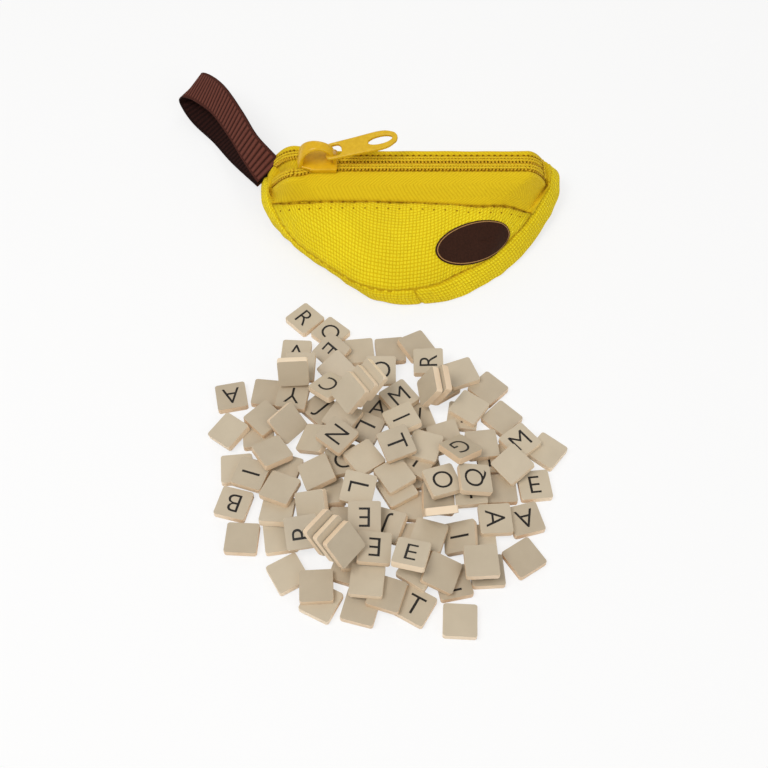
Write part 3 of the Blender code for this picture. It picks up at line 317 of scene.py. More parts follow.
def zip_stations(count):
    """Values of x evenly spaced along the zip's length."""
    xs = np.linspace(-ZIP_LEFT_END, ZIP_RIGHT_END, 400)
    length = lengths(zip_line(xs))
    return np.interp(np.linspace(0, length[-1], count), length, xs)


def rounded_rectangle(x0, x1, half_width, radius, steps=4):
    out = []
    for cx, cy, start in (
        (x1 - radius, half_width - radius, 0),
        (x0 + radius, half_width - radius, 90),
        (x0 + radius, -half_width + radius, 180),
        (x1 - radius, -half_width + radius, 270),
    ):
        for k in range(steps + 1):
            angle = math.radians(start + 90 * k / steps)
            out.append((cx + radius * math.cos(angle), cy + radius * math.sin(angle)))
    return out


def tile_outline(steps):
    half = TILE_WIDTH / 2
    return rounded_rectangle(-half, half, half, TILE_CORNER, steps)


CELLS_PER_TILE = 26
SPREAD_ROUNDS = 60
PLANE_ROUNDS = 200
# Heights over and under all that the grid holds
FAR_UP = 1e3
FAR_DOWN = -1e3


class HeightMap:
    """Top of what lies on the table so far, on a square grid."""

    def __init__(self, low, high):
        self.cell = TILE_WIDTH / CELLS_PER_TILE
        self.xs = np.arange(low[0], high[0], self.cell)
        self.ys = np.arange(low[1], high[1], self.cell)
        self.top = np.zeros((len(self.xs), len(self.ys)))

    def column_range(self, pose, grow):
        """Lowest and highest point of a tile over each cell that it covers."""
        spot = pose.translation
        reach = TILE_WIDTH
        i = np.flatnonzero(np.abs(self.xs - spot.x) < reach)
        j = np.flatnonzero(np.abs(self.ys - spot.y) < reach)
        gx, gy = np.meshgrid(self.xs[i], self.ys[j], indexing="ij")
        low = np.full(gx.shape, FAR_DOWN)
        high = np.full(gx.shape, FAR_UP)
        turn = pose.to_3x3()
        sizes = (TILE_WIDTH / 2 + grow, TILE_WIDTH / 2 + grow, TILE_THICK / 2)
        for axis in range(3):
            for sign in (-1, 1):
                n = turn.col[axis] * sign
                limit = sizes[axis] + n.dot(spot)
                rest = limit - n.x * gx - n.y * gy
                if n.z > 1e-6:
                    high = np.minimum(high, rest / n.z)
                elif n.z < -1e-6:
                    low = np.maximum(low, rest / n.z)
                else:
                    low = np.where(rest < 0, FAR_UP, low)
        covered = low < high
        return i, j, gx, gy, low, high, covered

    def add(self, pose):
        i, j, _, _, _, high, covered = self.column_range(pose, self.cell / 2)
        window = np.ix_(i, j)
        self.top[window] = np.where(covered, np.maximum(self.top[window], high), self.top[window])


def resting_plane(px, py, heights, cx, cy):
    """Plane over all the heights that is lowest at the centre: three of the points carry it."""
    angle = np.arctan2(py - cy, px - cx)
    triple = []
    for way in (0.3, 0.3 + 2 * math.pi / 3, 0.3 - 2 * math.pi / 3):
        off = np.abs((angle - way + math.pi) % (2 * math.pi) - math.pi)
        distance = np.hypot(px - cx, py - cy)
        triple.append(int(np.argmax(np.where(off < 0.3, distance, -1))))
    for _ in range(PLANE_ROUNDS):
        a = np.stack([px[triple], py[triple], np.ones(3)], axis=1)
        plane = np.linalg.solve(a, heights[triple])
        over = heights - (plane[0] * px + plane[1] * py + plane[2])
        worst = int(np.argmax(over))
        if over[worst] < 1e-7:
            return plane
        best = None
        for k in range(3):
            trial = list(triple)
            trial[k] = worst
            b = np.stack([px[trial], py[trial], np.ones(3)], axis=0)
            if abs(np.linalg.det(b)) < 1e-12:
                continue
            weights = np.linalg.solve(b, np.array([cx, cy, 1.0]))
            if best is None or weights.min() > best[0]:
                best = (weights.min(), trial)
        if best[1] == triple:
            return plane
        triple = best[1]
    return plane


def pose_on(plane, cx, cy, turn):
    """Matrix of a tile whose underside lies in the plane, over the given centre."""
    normal = Vector((-plane[0], -plane[1], 1.0)).normalized()
    flat = Vector((math.cos(turn), math.sin(turn), 0.0))
    along = (flat - normal * flat.dot(normal)).normalized()
    side = normal.cross(along)
    matrix = Matrix((along, side, normal)).transposed().to_4x4()
    foot = Vector((cx, cy, plane[0] * cx + plane[1] * cy + plane[2]))
    matrix.translation = foot + normal * (TILE_THICK / 2)
    return matrix


def settle(pile, x, y, turn, gap):
    """Lays a tile on the pile, tilted as its three contacts hold it."""
    plane = np.array([0.0, 0.0, 0.0])
    for _ in range(4):
        pose = pose_on(plane, x, y, turn)
        pose.translation.z += 1.0
        i, j, gx, gy, low, _, covered = pile.column_range(pose, max(gap, 0.0))
        under = low - 1.0 - (plane[0] * gx + plane[1] * gy + plane[2])
        heights = pile.top[np.ix_(i, j)] - under
        heights = heights + np.where(pile.top[np.ix_(i, j)] > 1e-9, gap, 0.0)
        plane = resting_plane(gx[covered], gy[covered], heights[covered], x, y)
    pose = pose_on(plane, x, y, turn)
    return lifted(pile, pose, gap)


def lifted(pile, pose, gap):
    """Raises a posed tile, if need be, until it clears what lies under it."""
    pose = pose.copy()
    i, j, _, _, low, _, covered = pile.column_range(pose, max(gap, 0.0))
    top = pile.top[np.ix_(i, j)]
    need = np.where(covered, top + np.where(top > 1e-9, gap, 0.0) - low, FAR_DOWN).max()
    pose.translation.z += max(need, 0.0) if gap > 0 else need
    corners = [pose @ Vector((x, y, -TILE_THICK / 2)) for x, y in tile_outline(1)]
    pose.translation.z += max(0.0, -min(c.z for c in corners))
    return pose


def drop_by(pile, pose):
    """How much a posed tile has to rise to clear the pile. Negative when it can fall."""
    i, j, _, _, low, _, covered = pile.column_range(pose, TILE_GAP)
    top = pile.top[np.ix_(i, j)]
    return np.where(covered, top + np.where(top > 1e-9, TILE_GAP, 0.0) - low, FAR_DOWN).max()


def fan(pile, x, y, turn, lean, count):
    """Tiles on their lower edges, each leaning on the one before, dropped onto the pile together."""
    step = TILE_THICK + TILE_GAP
    base = Matrix.Translation((x, y, TILE_WIDTH)) @ Matrix.Rotation(turn, 4, "Z")
    base = base @ Matrix.Rotation(lean, 4, "Y")
    poses = []
    for k in range(count):
        slip = Matrix.Translation((k * step / math.tan(lean), k * TILE_GAP, k * step))
        poses.append(base @ slip)
    rise = max(drop_by(pile, pose) for pose in poses)
    for pose in poses:
        pose.translation.z += rise
        pile.add(pose)
    return poses


def overlap_of(a, b, half):
    """Least overlap of two squares, the axis that it lies along, and the way from a to b on it."""
    least = None
    for turn in (a[2], b[2]):
        for axis in ((math.cos(turn), math.sin(turn)), (-math.sin(turn), math.cos(turn))):
            extent = 0.0
            for own in (a[2], b[2]):
                extent += half * (
                    abs(math.cos(own) * axis[0] + math.sin(own) * axis[1])
                    + abs(-math.sin(own) * axis[0] + math.cos(own) * axis[1])
                )
            apart = (b[0] - a[0]) * axis[0] + (b[1] - a[1]) * axis[1]
            overlap = extent - abs(apart)
            if least is None or overlap < least[0]:
                least = (overlap, axis, math.copysign(1, apart))
    return least


def spread_apart(places, clearance):
    """Nudges the tiles of one layer sideways until none overlap, as they do when they settle flat."""
    spots = [[x * TILE_WIDTH, PILE_BACK + y * TILE_WIDTH, math.radians(t)] for x, y, t in places]
    half = TILE_WIDTH / 2 + clearance / 2
    for _ in range(SPREAD_ROUNDS):
        moved = False
        for a, b in itertools.combinations(spots, 2):
            if math.hypot(b[0] - a[0], b[1] - a[1]) > 2.9 * half:
                continue
            overlap, axis, way = overlap_of(a, b, half)
            if overlap > 0:
                moved = True
                push = overlap / 2 + TILE_GAP / 20
                for spot, sign in ((a, -way), (b, way)):
                    spot[0] += axis[0] * push * sign
                    spot[1] += axis[1] * push * sign
        if not moved:
            break
    return spots


# Scene, camera and light

CAMERA_LENS = 48.14
SENSOR_WIDTH = 36.0
CAMERA_PLACE = (-0.009, -0.2304, 0.2585)
CAMERA_TILT = math.radians(34.6)
LAMP_TARGET = (0.0, -0.03, 0.0)
# Name, place, size and power in watts
LAMPS = (
    ("key", (-0.28, -0.22, 0.62), 0.35, 2.0),
    ("fill", (0.40, -0.45, 0.42), 0.5, 0.8),
    ("rim", (0.10, 0.55, 0.45), 0.4, 0.5),
)
WHITE = (1.0, 1.0, 1.0)
WORLD_COLOUR = (1.0, 0.985, 0.96)
WORLD_STRENGTH = 0.48
FLOOR_COLOUR = (0.93, 0.93, 0.93)
FLOOR_WHITE_SHARE = 0.72
FLOOR_HALF_SIZE = 2.5
FLOOR_DROP = 0.0001


def aim(obj, target):
    way = Vector(target) - obj.location
    obj.rotation_euler = way.to_track_quat("-Z", "Y").to_euler()


def build_camera(scene):
    data = bpy.data.cameras.new("camera")
    data.lens = CAMERA_LENS
    data.sensor_width = SENSOR_WIDTH
    camera = bpy.data.objects.new("camera", data)
    camera.location = CAMERA_PLACE
    camera.rotation_euler = (CAMERA_TILT, 0.0, 0.0)
    scene.collection.objects.link(camera)
    scene.camera = camera


def build_lamps(scene):
    for name, place, size, power in LAMPS:
        light = bpy.data.lights.new(name, "AREA")
        light.shape = "DISK"
        light.size = size
        light.energy = power
        lamp = bpy.data.objects.new(name, light)
        lamp.location = place
        scene.collection.objects.link(lamp)
        aim(lamp, LAMP_TARGET)


def shader_node(tree, kind, colour, strength=None):
    made = tree.nodes.new("ShaderNode" + kind)
    made.inputs["Color"].default_value = (*colour, 1.0)
    if strength is not None:
        made.inputs["Strength"].default_value = strength
    return made.outputs[0]


def show_to_camera(tree, output, lit, seen, share):
    """The camera sees the second shader by the given share. Light meets the first one alone."""
    path = tree.nodes.new("ShaderNodeLightPath")
    part = tree.nodes.new("ShaderNodeMath")
    part.operation = "MULTIPLY"
    part.inputs[1].default_value = share
    mix = tree.nodes.new("ShaderNodeMixShader")
    out = tree.nodes.new("ShaderNodeOutput" + output)
    tree.links.new(path.outputs["Is Camera Ray"], part.inputs[0])
    tree.links.new(part.outputs[0], mix.inputs["Fac"])
    tree.links.new(lit, mix.inputs[1])
    tree.links.new(seen, mix.inputs[2])
    tree.links.new(mix.outputs[0], out.inputs["Surface"])


def build_world(scene):
    world = bpy.data.worlds.new("studio")
    world.use_nodes = True
    tree = world.node_tree
    tree.nodes.clear()
    lit = shader_node(tree, "Background", WORLD_COLOUR, WORLD_STRENGTH)
    show_to_camera(tree, "World", lit, shader_node(tree, "Background", WHITE, 1.0), 1.0)
    scene.world = world


def build_floor(scene):
    mesh = bpy.data.meshes.new("floor")
    shape = bmesh.new()
    bmesh.ops.create_grid(shape, x_segments=1, y_segments=1, size=FLOOR_HALF_SIZE)
    shape.to_mesh(mesh)
    shape.free()
    floor = bpy.data.objects.new("floor", mesh)
    floor.location.z = -FLOOR_DROP
    scene.collection.objects.link(floor)
    paper = bpy.data.materials.new("floor_paper")
    paper.use_nodes = True
    tree = paper.node_tree
    tree.nodes.clear()
    matt = shader_node(tree, "BsdfDiffuse", FLOOR_COLOUR)
    show_to_camera(tree, "Material", matt, shader_node(tree, "Emission", WHITE), FLOOR_WHITE_SHARE)
    mesh.materials.append(paper)


def build_stage():
    scene = bpy.context.scene
    scene.view_settings.view_transform = "Standard"
    build_camera(scene)
    build_world(scene)
    build_lamps(scene)
    build_floor(scene)


# Materials


class Shade:
    """Short names for building one Principled material from nodes."""

    def __init__(self, name, colour, roughness):
        self.material = bpy.data.materials.new(name)
        self.material.use_nodes = True
        self.tree = self.material.node_tree
        self.shader = self.tree.nodes["Principled BSDF"]
        self.shader.inputs["Base Color"].default_value = (*colour, 1.0)
        self.shader.inputs["Roughness"].default_value = roughness

    def node(self, kind, **settings):
        made = self.tree.nodes.new("ShaderNode" + kind)
        for key, value in settings.items():
            setattr(made, key, value)
        return made

    def link(self, source, target):
        self.tree.links.new(source, target)

    def feed(self, value, socket):
        """Gives a socket a number, a colour or another node's result."""
        if isinstance(value, (int, float)):
            socket.default_value = value
        elif isinstance(value, tuple):
            socket.default_value = (*value, 1.0)
        else:
            self.link(value, socket)

    def math(self, operation, a, b=None, c=None):
        made = self.node("Math", operation=operation)
        for socket, value in zip(made.inputs, (a, b, c)):
            if value is not None:
                self.feed(value, socket)
        return made.outputs[0]

    def noise(self, vector, scale, detail=3.0):
        made = self.node("TexNoise")
        made.inputs["Scale"].default_value = scale
        made.inputs["Detail"].default_value = detail
        made.inputs["Roughness"].default_value = 0.55
        self.link(vector, made.inputs["Vector"])
        return made.outputs["Fac"]

    def ramp(self, fac, stops):
        made = self.node("ValToRGB")
        self.link(fac, made.inputs["Fac"])
        ramp = made.color_ramp
        for end in (0, -1):
            ramp.elements[end].position = stops[end][0]
            ramp.elements[end].color = (*stops[end][1], 1.0)
        for place, colour in stops[1:-1]:
            ramp.elements.new(place).color = (*colour, 1.0)
        return made.outputs["Color"]

    def mix(self, fac, a, b, blend="MIX"):
        made = self.node("Mix", data_type="RGBA", blend_type=blend)
        self.feed(fac, made.inputs["Factor"])
        self.feed(a, made.inputs[6])
        self.feed(b, made.inputs[7])
        return made.outputs[2]

    def bump(self, height, distance):
        made = self.node("Bump")
        made.inputs["Distance"].default_value = distance
        made.inputs["Strength"].default_value = 1.0
        self.link(height, made.inputs["Height"])
        self.link(made.outputs["Normal"], self.shader.inputs["Normal"])

    def object_place(self):
        return self.node("TexCoord").outputs["Object"]


WARP_PITCH = 1.15 * MM
TAPE_THREAD_PITCH = 1.0 * MM
THREAD_WANDER = 0.9
# Painted shade: the deep orange that a cloth's colour is mixed towards where the cloth dives into a seam, and
# how strongly
SEAM_SHADE_COLOUR = (0.46, 0.23, 0.002)
SEAM_SHADE_SHARE = 0.8
CLOTH_SHEEN = 0.03
CLOTH_SPECULAR = 0.12
# Each finish: its dark and light colour, roughness, grain per metre, bump in mm and specular level
PLAIN_FINISHES = {
    "coil": ((0.64, 0.36, 0.004), (0.80, 0.53, 0.012), 0.5, 2600.0, 0.03, 0.3),
    "thread": ((0.66, 0.40, 0.006), (0.86, 0.64, 0.03), 0.8, 3000.0, 0.04, 0.15),
    "thread_dark": ((0.22, 0.10, 0.002), (0.40, 0.20, 0.004), 0.9, 3000.0, 0.04, 0.1),
    "label_field": ((0.028, 0.009, 0.004), (0.044, 0.014, 0.007), 0.6, 1800.0, 0.02, 0.12),
    "label_ring": ((0.34, 0.17, 0.05), (0.46, 0.25, 0.09), 0.6, 2500.0, 0.02, 0.3),
    "slider_enamel": ((0.72, 0.41, 0.003), (0.80, 0.47, 0.006), 0.38, 900.0, 0.006, 0.3),
    "tab_enamel": ((0.70, 0.42, 0.010), (0.78, 0.49, 0.018), 0.38, 900.0, 0.006, 0.3),
    "ink": ((0.012, 0.010, 0.009), (0.022, 0.018, 0.015), 0.45, 2000.0, 0.01, 0.3),
}


def thread_axes(shade, pitch):
    """Place on the cloth in threads, slightly uneven as woven yarn is."""
    uv = shade.node("UVMap", uv_map="weave").outputs["UV"]
    wander = shade.node("TexNoise")
    wander.inputs["Scale"].default_value = 90.0
    wander.inputs["Detail"].default_value = 2.0
    shade.link(uv, wander.inputs["Vector"])
    apart = shade.node("SeparateXYZ")
    shade.link(uv, apart.inputs[0])
    push = shade.node("SeparateXYZ")
    shade.link(wander.outputs["Color"], push.inputs[0])
    axes = []
    for k in (0, 1):
        threads = shade.math("DIVIDE", apart.outputs[k], pitch)
        axes.append(shade.math("MULTIPLY_ADD", push.outputs[k], THREAD_WANDER, threads))
    return axes, uv


def ridge(shade, value):
    return shade.math("ABSOLUTE", shade.math("SINE", shade.math("MULTIPLY", value, math.pi)))


def finish_cloth(shade, height, colour, depth):
    """Sets a cloth's relief and sheen, with painted shade, a deeper colour, where the cloth dives into a
    seam.
    """
    seam_shade = shade.node("Attribute", attribute_name="seam_shade").outputs["Fac"]
    colour = shade.mix(shade.math("MULTIPLY", seam_shade, SEAM_SHADE_SHARE), colour, SEAM_SHADE_COLOUR)
    shade.link(colour, shade.shader.inputs["Base Color"])
    shade.shader.inputs["Sheen Weight"].default_value = CLOTH_SHEEN
    shade.shader.inputs["Specular IOR Level"].default_value = CLOTH_SPECULAR
    shade.bump(height, depth)
    return shade.material


def weighted(shade, *parts):
    """Sum of values, each times its weight."""
    total = None
    for value, weight in parts:
        part = shade.math("MULTIPLY", value, weight)
        total = part if total is None else shade.math("ADD", total, part)
    return total


def canvas_material():
    """Plain weave: warp and weft threads pass over each other by turns."""
    shade = Shade("canvas", (0.78, 0.60, 0.03), 0.92)
    (u, v), uv = thread_axes(shade, WARP_PITCH)
    checks = shade.math("ADD", shade.math("FLOOR", u), shade.math("FLOOR", v))
    odd = shade.math("ABSOLUTE", shade.math("MODULO", checks, 2.0))
    across_u = ridge(shade, u)
    across_v = ridge(shade, v)
    warp = shade.math("MULTIPLY", shade.math("POWER", across_u, 0.45), across_v)
    weft = shade.math("MULTIPLY", shade.math("POWER", across_v, 0.45), across_u)
    slub = shade.noise(uv, 2600.0, 2.0)
    height = weighted(shade, (warp, odd), (weft, shade.math("SUBTRACT", 1.0, odd)), (slub, 0.35))
    # Painted shade: the yarn's colour runs darker where the weave lies low, in the hollows between the
    # threads, and lighter on their crests
    stops = ((0.0, (0.66, 0.42, 0.002)), (0.45, (0.93, 0.68, 0.006)), (1.1, (1.0, 0.82, 0.025)))
    wide = shade.noise(uv, 45.0, 4.0)
    worn = shade.ramp(wide, ((0.3, (0.88, 0.85, 0.8)), (0.7, WHITE)))
    colour = shade.mix(1.0, shade.ramp(height, stops), worn, "MULTIPLY")
    return finish_cloth(shade, height, colour, 0.24 * MM)


def tape_material():
    """Twill in chevrons along the tape."""
    shade = Shade("tape", (0.68, 0.45, 0.02), 0.8)
    (u, v), uv = thread_axes(shade, TAPE_THREAD_PITCH)
    zigzag = shade.math("PINGPONG", shade.math("ADD", v, -3.2), 5.8)
    slant = shade.math("ADD", u, shade.math("MULTIPLY", zigzag, 0.9))
    rib = ridge(shade, shade.math("DIVIDE", slant, 1.25))
    fine = ridge(shade, shade.math("DIVIDE", shade.math("SUBTRACT", u, zigzag), 0.5))
    grain = shade.noise(uv, 2200.0, 2.0)
    height = weighted(shade, (rib, 0.5), (fine, 0.5), (grain, 0.25))
    # Painted shade: the tape's colour runs darker where the twill lies low, in the hollows between the
    # threads
    stops = ((0.0, (0.62, 0.38, 0.003)), (0.55, (0.75, 0.50, 0.006)), (1.1, (0.84, 0.61, 0.015)))
    return finish_cloth(shade, height, shade.ramp(height, stops), 0.10 * MM)


def plain_material(name):
    """Fine even grain between two close colours."""
    dark, light, roughness, grain, depth, specular = PLAIN_FINISHES[name]
    shade = Shade(name, light, roughness)
    shade.shader.inputs["Specular IOR Level"].default_value = specular
    fine = shade.noise(shade.object_place(), grain)
    shade.link(shade.ramp(fine, ((0.32, dark), (0.68, light))), shade.shader.inputs["Base Color"])
    shade.bump(fine, depth * MM)
    if name.endswith("enamel"):
        shade.shader.inputs["Coat Weight"].default_value = 0.25
        shade.shader.inputs["Coat Roughness"].default_value = 0.2
    return shade.material


def webbing_material():
    """Ribbed ribbon: dark between the ribs, as painted shade in the grooves, with fine threads along them."""
    shade = Shade("webbing", (0.1, 0.03, 0.02), 0.85)
    shade.shader.inputs["Specular IOR Level"].default_value = CLOTH_SPECULAR
    rib = shade.node("Attribute", attribute_name="rib").outputs["Fac"]
    grain = shade.noise(shade.object_place(), 2200.0)
    height = weighted(shade, (rib, 0.8), (grain, 0.35))
    # Painted shade: nearly black in the grooves between the ribs and where the rib values are lowered inside
    # the loop, lighter on the crests
    stops = ((0.2, (0.014, 0.004, 0.003)), (0.6, (0.075, 0.021, 0.014)), (1.05, (0.165, 0.052, 0.036)))
    shade.link(shade.ramp(height, stops), shade.shader.inputs["Base Color"])
    shade.bump(grain, 0.08 * MM)
    return shade.material


def tile_material(name, dark, light):
    shade = Shade(name, light, 0.42)
    place = shade.object_place()
    tone = shade.node("Attribute", attribute_name="tone").outputs["Fac"]
    mixed = weighted(shade, (shade.noise(place, 170.0), 0.45), (tone, 0.55))
    shade.link(shade.ramp(mixed, ((0.2, dark), (0.75, light))), shade.shader.inputs["Base Color"])
    shade.bump(shade.noise(place, 2400.0, 2.0), 0.015 * MM)
    return shade.material


def build_materials():
    made = {"canvas": canvas_material(), "tape": tape_material(), "webbing": webbing_material()}
    made.update({name: plain_material(name) for name in PLAIN_FINISHES})
    made["tile_top"] = tile_material("tile_top", (0.49, 0.405, 0.29), (0.60, 0.51, 0.375))
    # Painted light: the sides are the tiles' own plastic, painted brighter and warmer than the tops for the
    # light that falls on them from the front and bounces warmly inside the heap
    made["tile_side_painted_light"] = tile_material("tile_side_painted_light", (0.80, 0.59, 0.39), (0.93, 0.77, 0.57))
    return made


# Mesh helpers


def soft_noise(u, v, scale, seed):
    """Smooth unevenness of about unit height: a few seeded waves in all directions."""
    rng = np.random.default_rng(seed)
    total = np.zeros_like(u)
    for _ in range(9):
        angle = rng.uniform(0, 2 * math.pi)
        k = 2 * math.pi / scale * rng.uniform(0.6, 1.6)
        total += np.sin(k * (u * math.cos(angle) + v * math.sin(angle)) + rng.uniform(0, 2 * math.pi))
    return total / 3.0


def new_object(name, points, faces, finishes, uv=None, slots=None, sharp=50.0):
    mesh = bpy.data.meshes.new(name)
    mesh.from_pydata(np.asarray(points).tolist(), [], faces)
    for finish in finishes:
        mesh.materials.append(MATERIALS[finish])
    if slots is not None:
        mesh.polygons.foreach_set("material_index", np.asarray(slots, np.int32))
    if uv is not None:
        layer = mesh.uv_layers.new(name="weave")
        corner = np.empty(len(mesh.loops), np.int32)
        mesh.loops.foreach_get("vertex_index", corner)
        layer.data.foreach_set("uv", np.asarray(uv)[corner].astype(np.float32).ravel())
    mesh.shade_smooth()
    mesh.set_sharp_from_angle(angle=math.radians(sharp))
    obj = bpy.data.objects.new(name, mesh)
    bpy.context.scene.collection.objects.link(obj)
    return obj


def mark(obj, name, values):
    """Gives each point of a mesh a number that its material reads."""
    layer = obj.data.attributes.new(name, "FLOAT", "POINT")
    layer.data.foreach_set("value", np.asarray(values, np.float32).ravel())


def points_and_faces(shape):
    """What a bmesh holds, as lists. The bmesh is freed."""
    shape.verts.index_update()
    points = np.array([v.co[:] for v in shape.verts])
    faces = [tuple(v.index for v in f.verts) for f in shape.faces]
    shape.free()
    return points, faces


def ring_faces(rings, count):
    """Quads between rings of points, each ring closed on itself."""
    return [
        (k * count + a, k * count + (a + 1) % count, (k + 1) * count + (a + 1) % count, (k + 1) * count + a)
        for k in range(rings - 1)
        for a in range(count)
    ]


def capped(rings, count):
    """Faces of a solid through rings of points, closed at both ends."""
    ends = [tuple(range(count))[::-1], tuple(range((rings - 1) * count, rings * count))]
    return ring_faces(rings, count) + ends


def surface(rows):
    """Grid of points, its normals, and the distances along and across the cloth."""
    grid = np.array(rows, float)
    normal = np.cross(np.gradient(grid, axis=1), np.gradient(grid, axis=0))
    normal /= np.linalg.norm(normal, axis=2)[..., None] + 1e-15
    step = np.linalg.norm(np.diff(grid, axis=1), axis=2)
    along = np.concatenate([np.zeros((len(grid), 1)), np.cumsum(step, axis=1)], axis=1)
    along -= along[:, along.shape[1] // 2][:, None]
    step = np.linalg.norm(np.diff(grid, axis=0), axis=2)
    across = np.concatenate([np.zeros((1, grid.shape[1])), np.cumsum(step, axis=0)], axis=0)
    return grid, normal, along, across


def grid_faces(rows, columns, flip):
    j, i = np.meshgrid(np.arange(rows - 1), np.arange(columns - 1), indexing="ij")
    a = (j * columns + i).ravel()
    quads = np.stack([a, a + 1, a + columns + 1, a + columns], axis=1)
    under = quads[:, ::-1] + rows * columns
    if flip:
        quads = quads[:, ::-1]
        under = under[:, ::-1]
    border = [(0, c) for c in range(columns)]
    border += [(r, columns - 1) for r in range(1, rows)]
    border += [(rows - 1, c) for c in range(columns - 2, -1, -1)]
    border += [(r, 0) for r in range(rows - 2, 0, -1)]
    ring = np.array([r * columns + c for r, c in border])
    after = np.roll(ring, -1)
    rim = np.stack([after, ring, ring + rows * columns, after + rows * columns], axis=1)
    if flip:
        rim = rim[:, ::-1]
    return np.concatenate([quads, under, rim]).tolist()


def blunted(rows):
    """The pouch's right tip drawn in, as a turned seam is."""
    tip = np.array(guide(BAND_TOP_SHARES)[-1])
    rows = np.array(rows, float)
    near = np.clip(1 - np.linalg.norm(rows - tip, axis=-1) / TIP_REACH, 0, 1)
    return rows + eased(near)[..., None] * TIP_SHIFT


def cloth(name, rows, outward, thickness, finish, relief, floor=None, columns=None):
    """A woven sheet through rows of points, with a relief on its face and its weave laid along it."""
    grid, normal, along, across = surface(blunted(rows))
    middle = normal[normal.shape[0] // 2, normal.shape[1] // 2]
    flip = float(middle @ np.array(outward, float)) < 0
    if flip:
        normal = -normal
    lift, seam_shade = shape_relief(along, across, **RELIEFS[relief])
    grid = grid + normal * lift[..., None]
    inner = grid - normal * thickness
    if columns is not None:
        grid, inner, along, across, seam_shade = (a[:, columns] for a in (grid, inner, along, across, seam_shade))
    if floor is not None:
        grid[..., 2] = np.maximum(grid[..., 2], floor)
        inner[..., 2] = np.maximum(inner[..., 2], floor + thickness * 0.5)
    count_v, count_u = along.shape
    uv = np.stack([along.ravel(), across.ravel()], axis=1)
    points = np.concatenate([grid.reshape(-1, 3), inner.reshape(-1, 3)])
    faces = grid_faces(count_v, count_u, flip)
    obj = new_object(name, points, faces, [finish], np.concatenate([uv, uv]))
    # Painted shade near the seams, which the cloth's material reads
    mark(obj, "seam_shade", np.tile(np.clip(seam_shade, 0, 1).ravel(), 2))
    return obj


def fold_in(distance, depth, reach):
    """How far cloth dives into a seam."""
    return -depth * np.exp(-((distance / reach) ** 2))


def puckers(place, distance, pitch, height, reach):
    """Small gathers that a seam draws into the cloth."""
    wave = np.sin(2 * math.pi * place / pitch + 1.6 * np.sin(place / (4.0 * MM)))
    return height * wave * np.exp(-distance / reach)


# Reliefs of the cloths, all sizes in mm. A distance is measured from one edge of the sheet.
# swells: height, scale and seed. folds: edge, depth and reach into the seam.
# gathers: edge, offset, pitch, height and reach. The last entry, painted shade that darkens the colour near a
# seam: edge, offset, reach and weight.
# Swells and gathers start at the distance flat_to from the low edge.
RELIEFS = {
    "panel": dict(
        swells=((0.14, 15, 3), (0.06, 6, 4)),
        folds=(("low", 0.75, 1.1), ("top", 0.45, 1.6)),
        gathers=(("low", 0, 3.3, 0.16, 2.6), ("top", 1.0, 3.6, 0.09, 2.4)),
        seam_shades=(("low", 0, 0.85, 1.0), ("top", 1.0, 0.35, 1.0)),
    ),
    "band_left": dict(
        swells=((0.10, 11, 7), (0.05, 5, 8)),
        folds=(("top", 0.7, 0.9), ("right", 0.45, 0.6)),
        gathers=(("top", 0, 3.3, 0.16, 2.2),),
        seam_shades=(("top", 0, 0.5, 1.0), ("right", 0, 0.3, 0.7)),
    ),
    "band_right": dict(
        swells=((0.10, 11, 7), (0.05, 5, 8)),
        folds=(("top", 0.7, 0.9), ("left", 0.45, 0.6)),
        gathers=(("top", 0, 3.3, 0.16, 2.2),),
        seam_shades=(("top", 0, 0.5, 1.0), ("left", 0, 0.3, 0.7)),
    ),
    "back": dict(
        swells=((0.10, 14, 11),),
        folds=(("top", 0.6, 0.9),),
        gathers=(("top", 0, 3.6, 0.10, 2.0),),
        seam_shades=(("top", 0, 0.5, 1.0),),
    ),
    "tape": dict(
        swells=((0.08, 13, 21),),
        folds=(("top", 0.3, 0.6),),
        gathers=(("top", 0, 3.6, 0.08, 1.8),),
        seam_shades=(("top", 0, 0.3, 1.0),),
        flat_to=5,
    ),
}


def shape_relief(along, across, swells, folds, gathers, seam_shades, flat_to=-1):
    """How far the face of a sheet lies above its rows, and how much painted shade near a seam its colour
    takes.
    """
    distance = {
        "low": across,
        "top": across[-1][None, :] - across,
        "left": along - along[:, 0][:, None],
        "right": along[:, -1][:, None] - along,
    }
    lift = np.zeros_like(along)
    for height, scale, seed in swells:
        lift += height * MM * soft_noise(along, across, scale * MM, seed)
    for edge, offset, pitch, height, reach in gathers:
        lift += puckers(along, distance[edge] - offset * MM, pitch * MM, height * MM, reach * MM)
    lift *= across > flat_to * MM
    for edge, depth, reach in folds:
        lift += fold_in(distance[edge], depth * MM, reach * MM)
    seam_shade = np.zeros_like(along)
    for edge, offset, reach, weight in seam_shades:
        seam_shade += weight * np.exp(-(((distance[edge] - offset * MM) / (reach * MM)) ** 2))
    return lift, seam_shade


def smooth_rows(rows, steps):
    """More rows between the given ones, on a smooth curve through each column."""
    grid = np.array(rows, float)
    return np.stack([catmull(grid[:, i], steps) for i in range(grid.shape[1])], axis=1)


def tube(path, radius, sides, reference):
    """A round wire on a path, closed at both ends."""
    path = np.array(path, float)
    heading = unit(np.gradient(path, axis=0))
    first = unit(np.cross(heading, reference))
    second = np.cross(heading, first)
    turn = np.linspace(0, 2 * math.pi, sides, endpoint=False)
    ring = first[:, None] * np.cos(turn)[None, :, None] + second[:, None] * np.sin(turn)[None, :, None]
    return (path[:, None] + ring * radius).reshape(-1, 3), capped(len(path), sides)


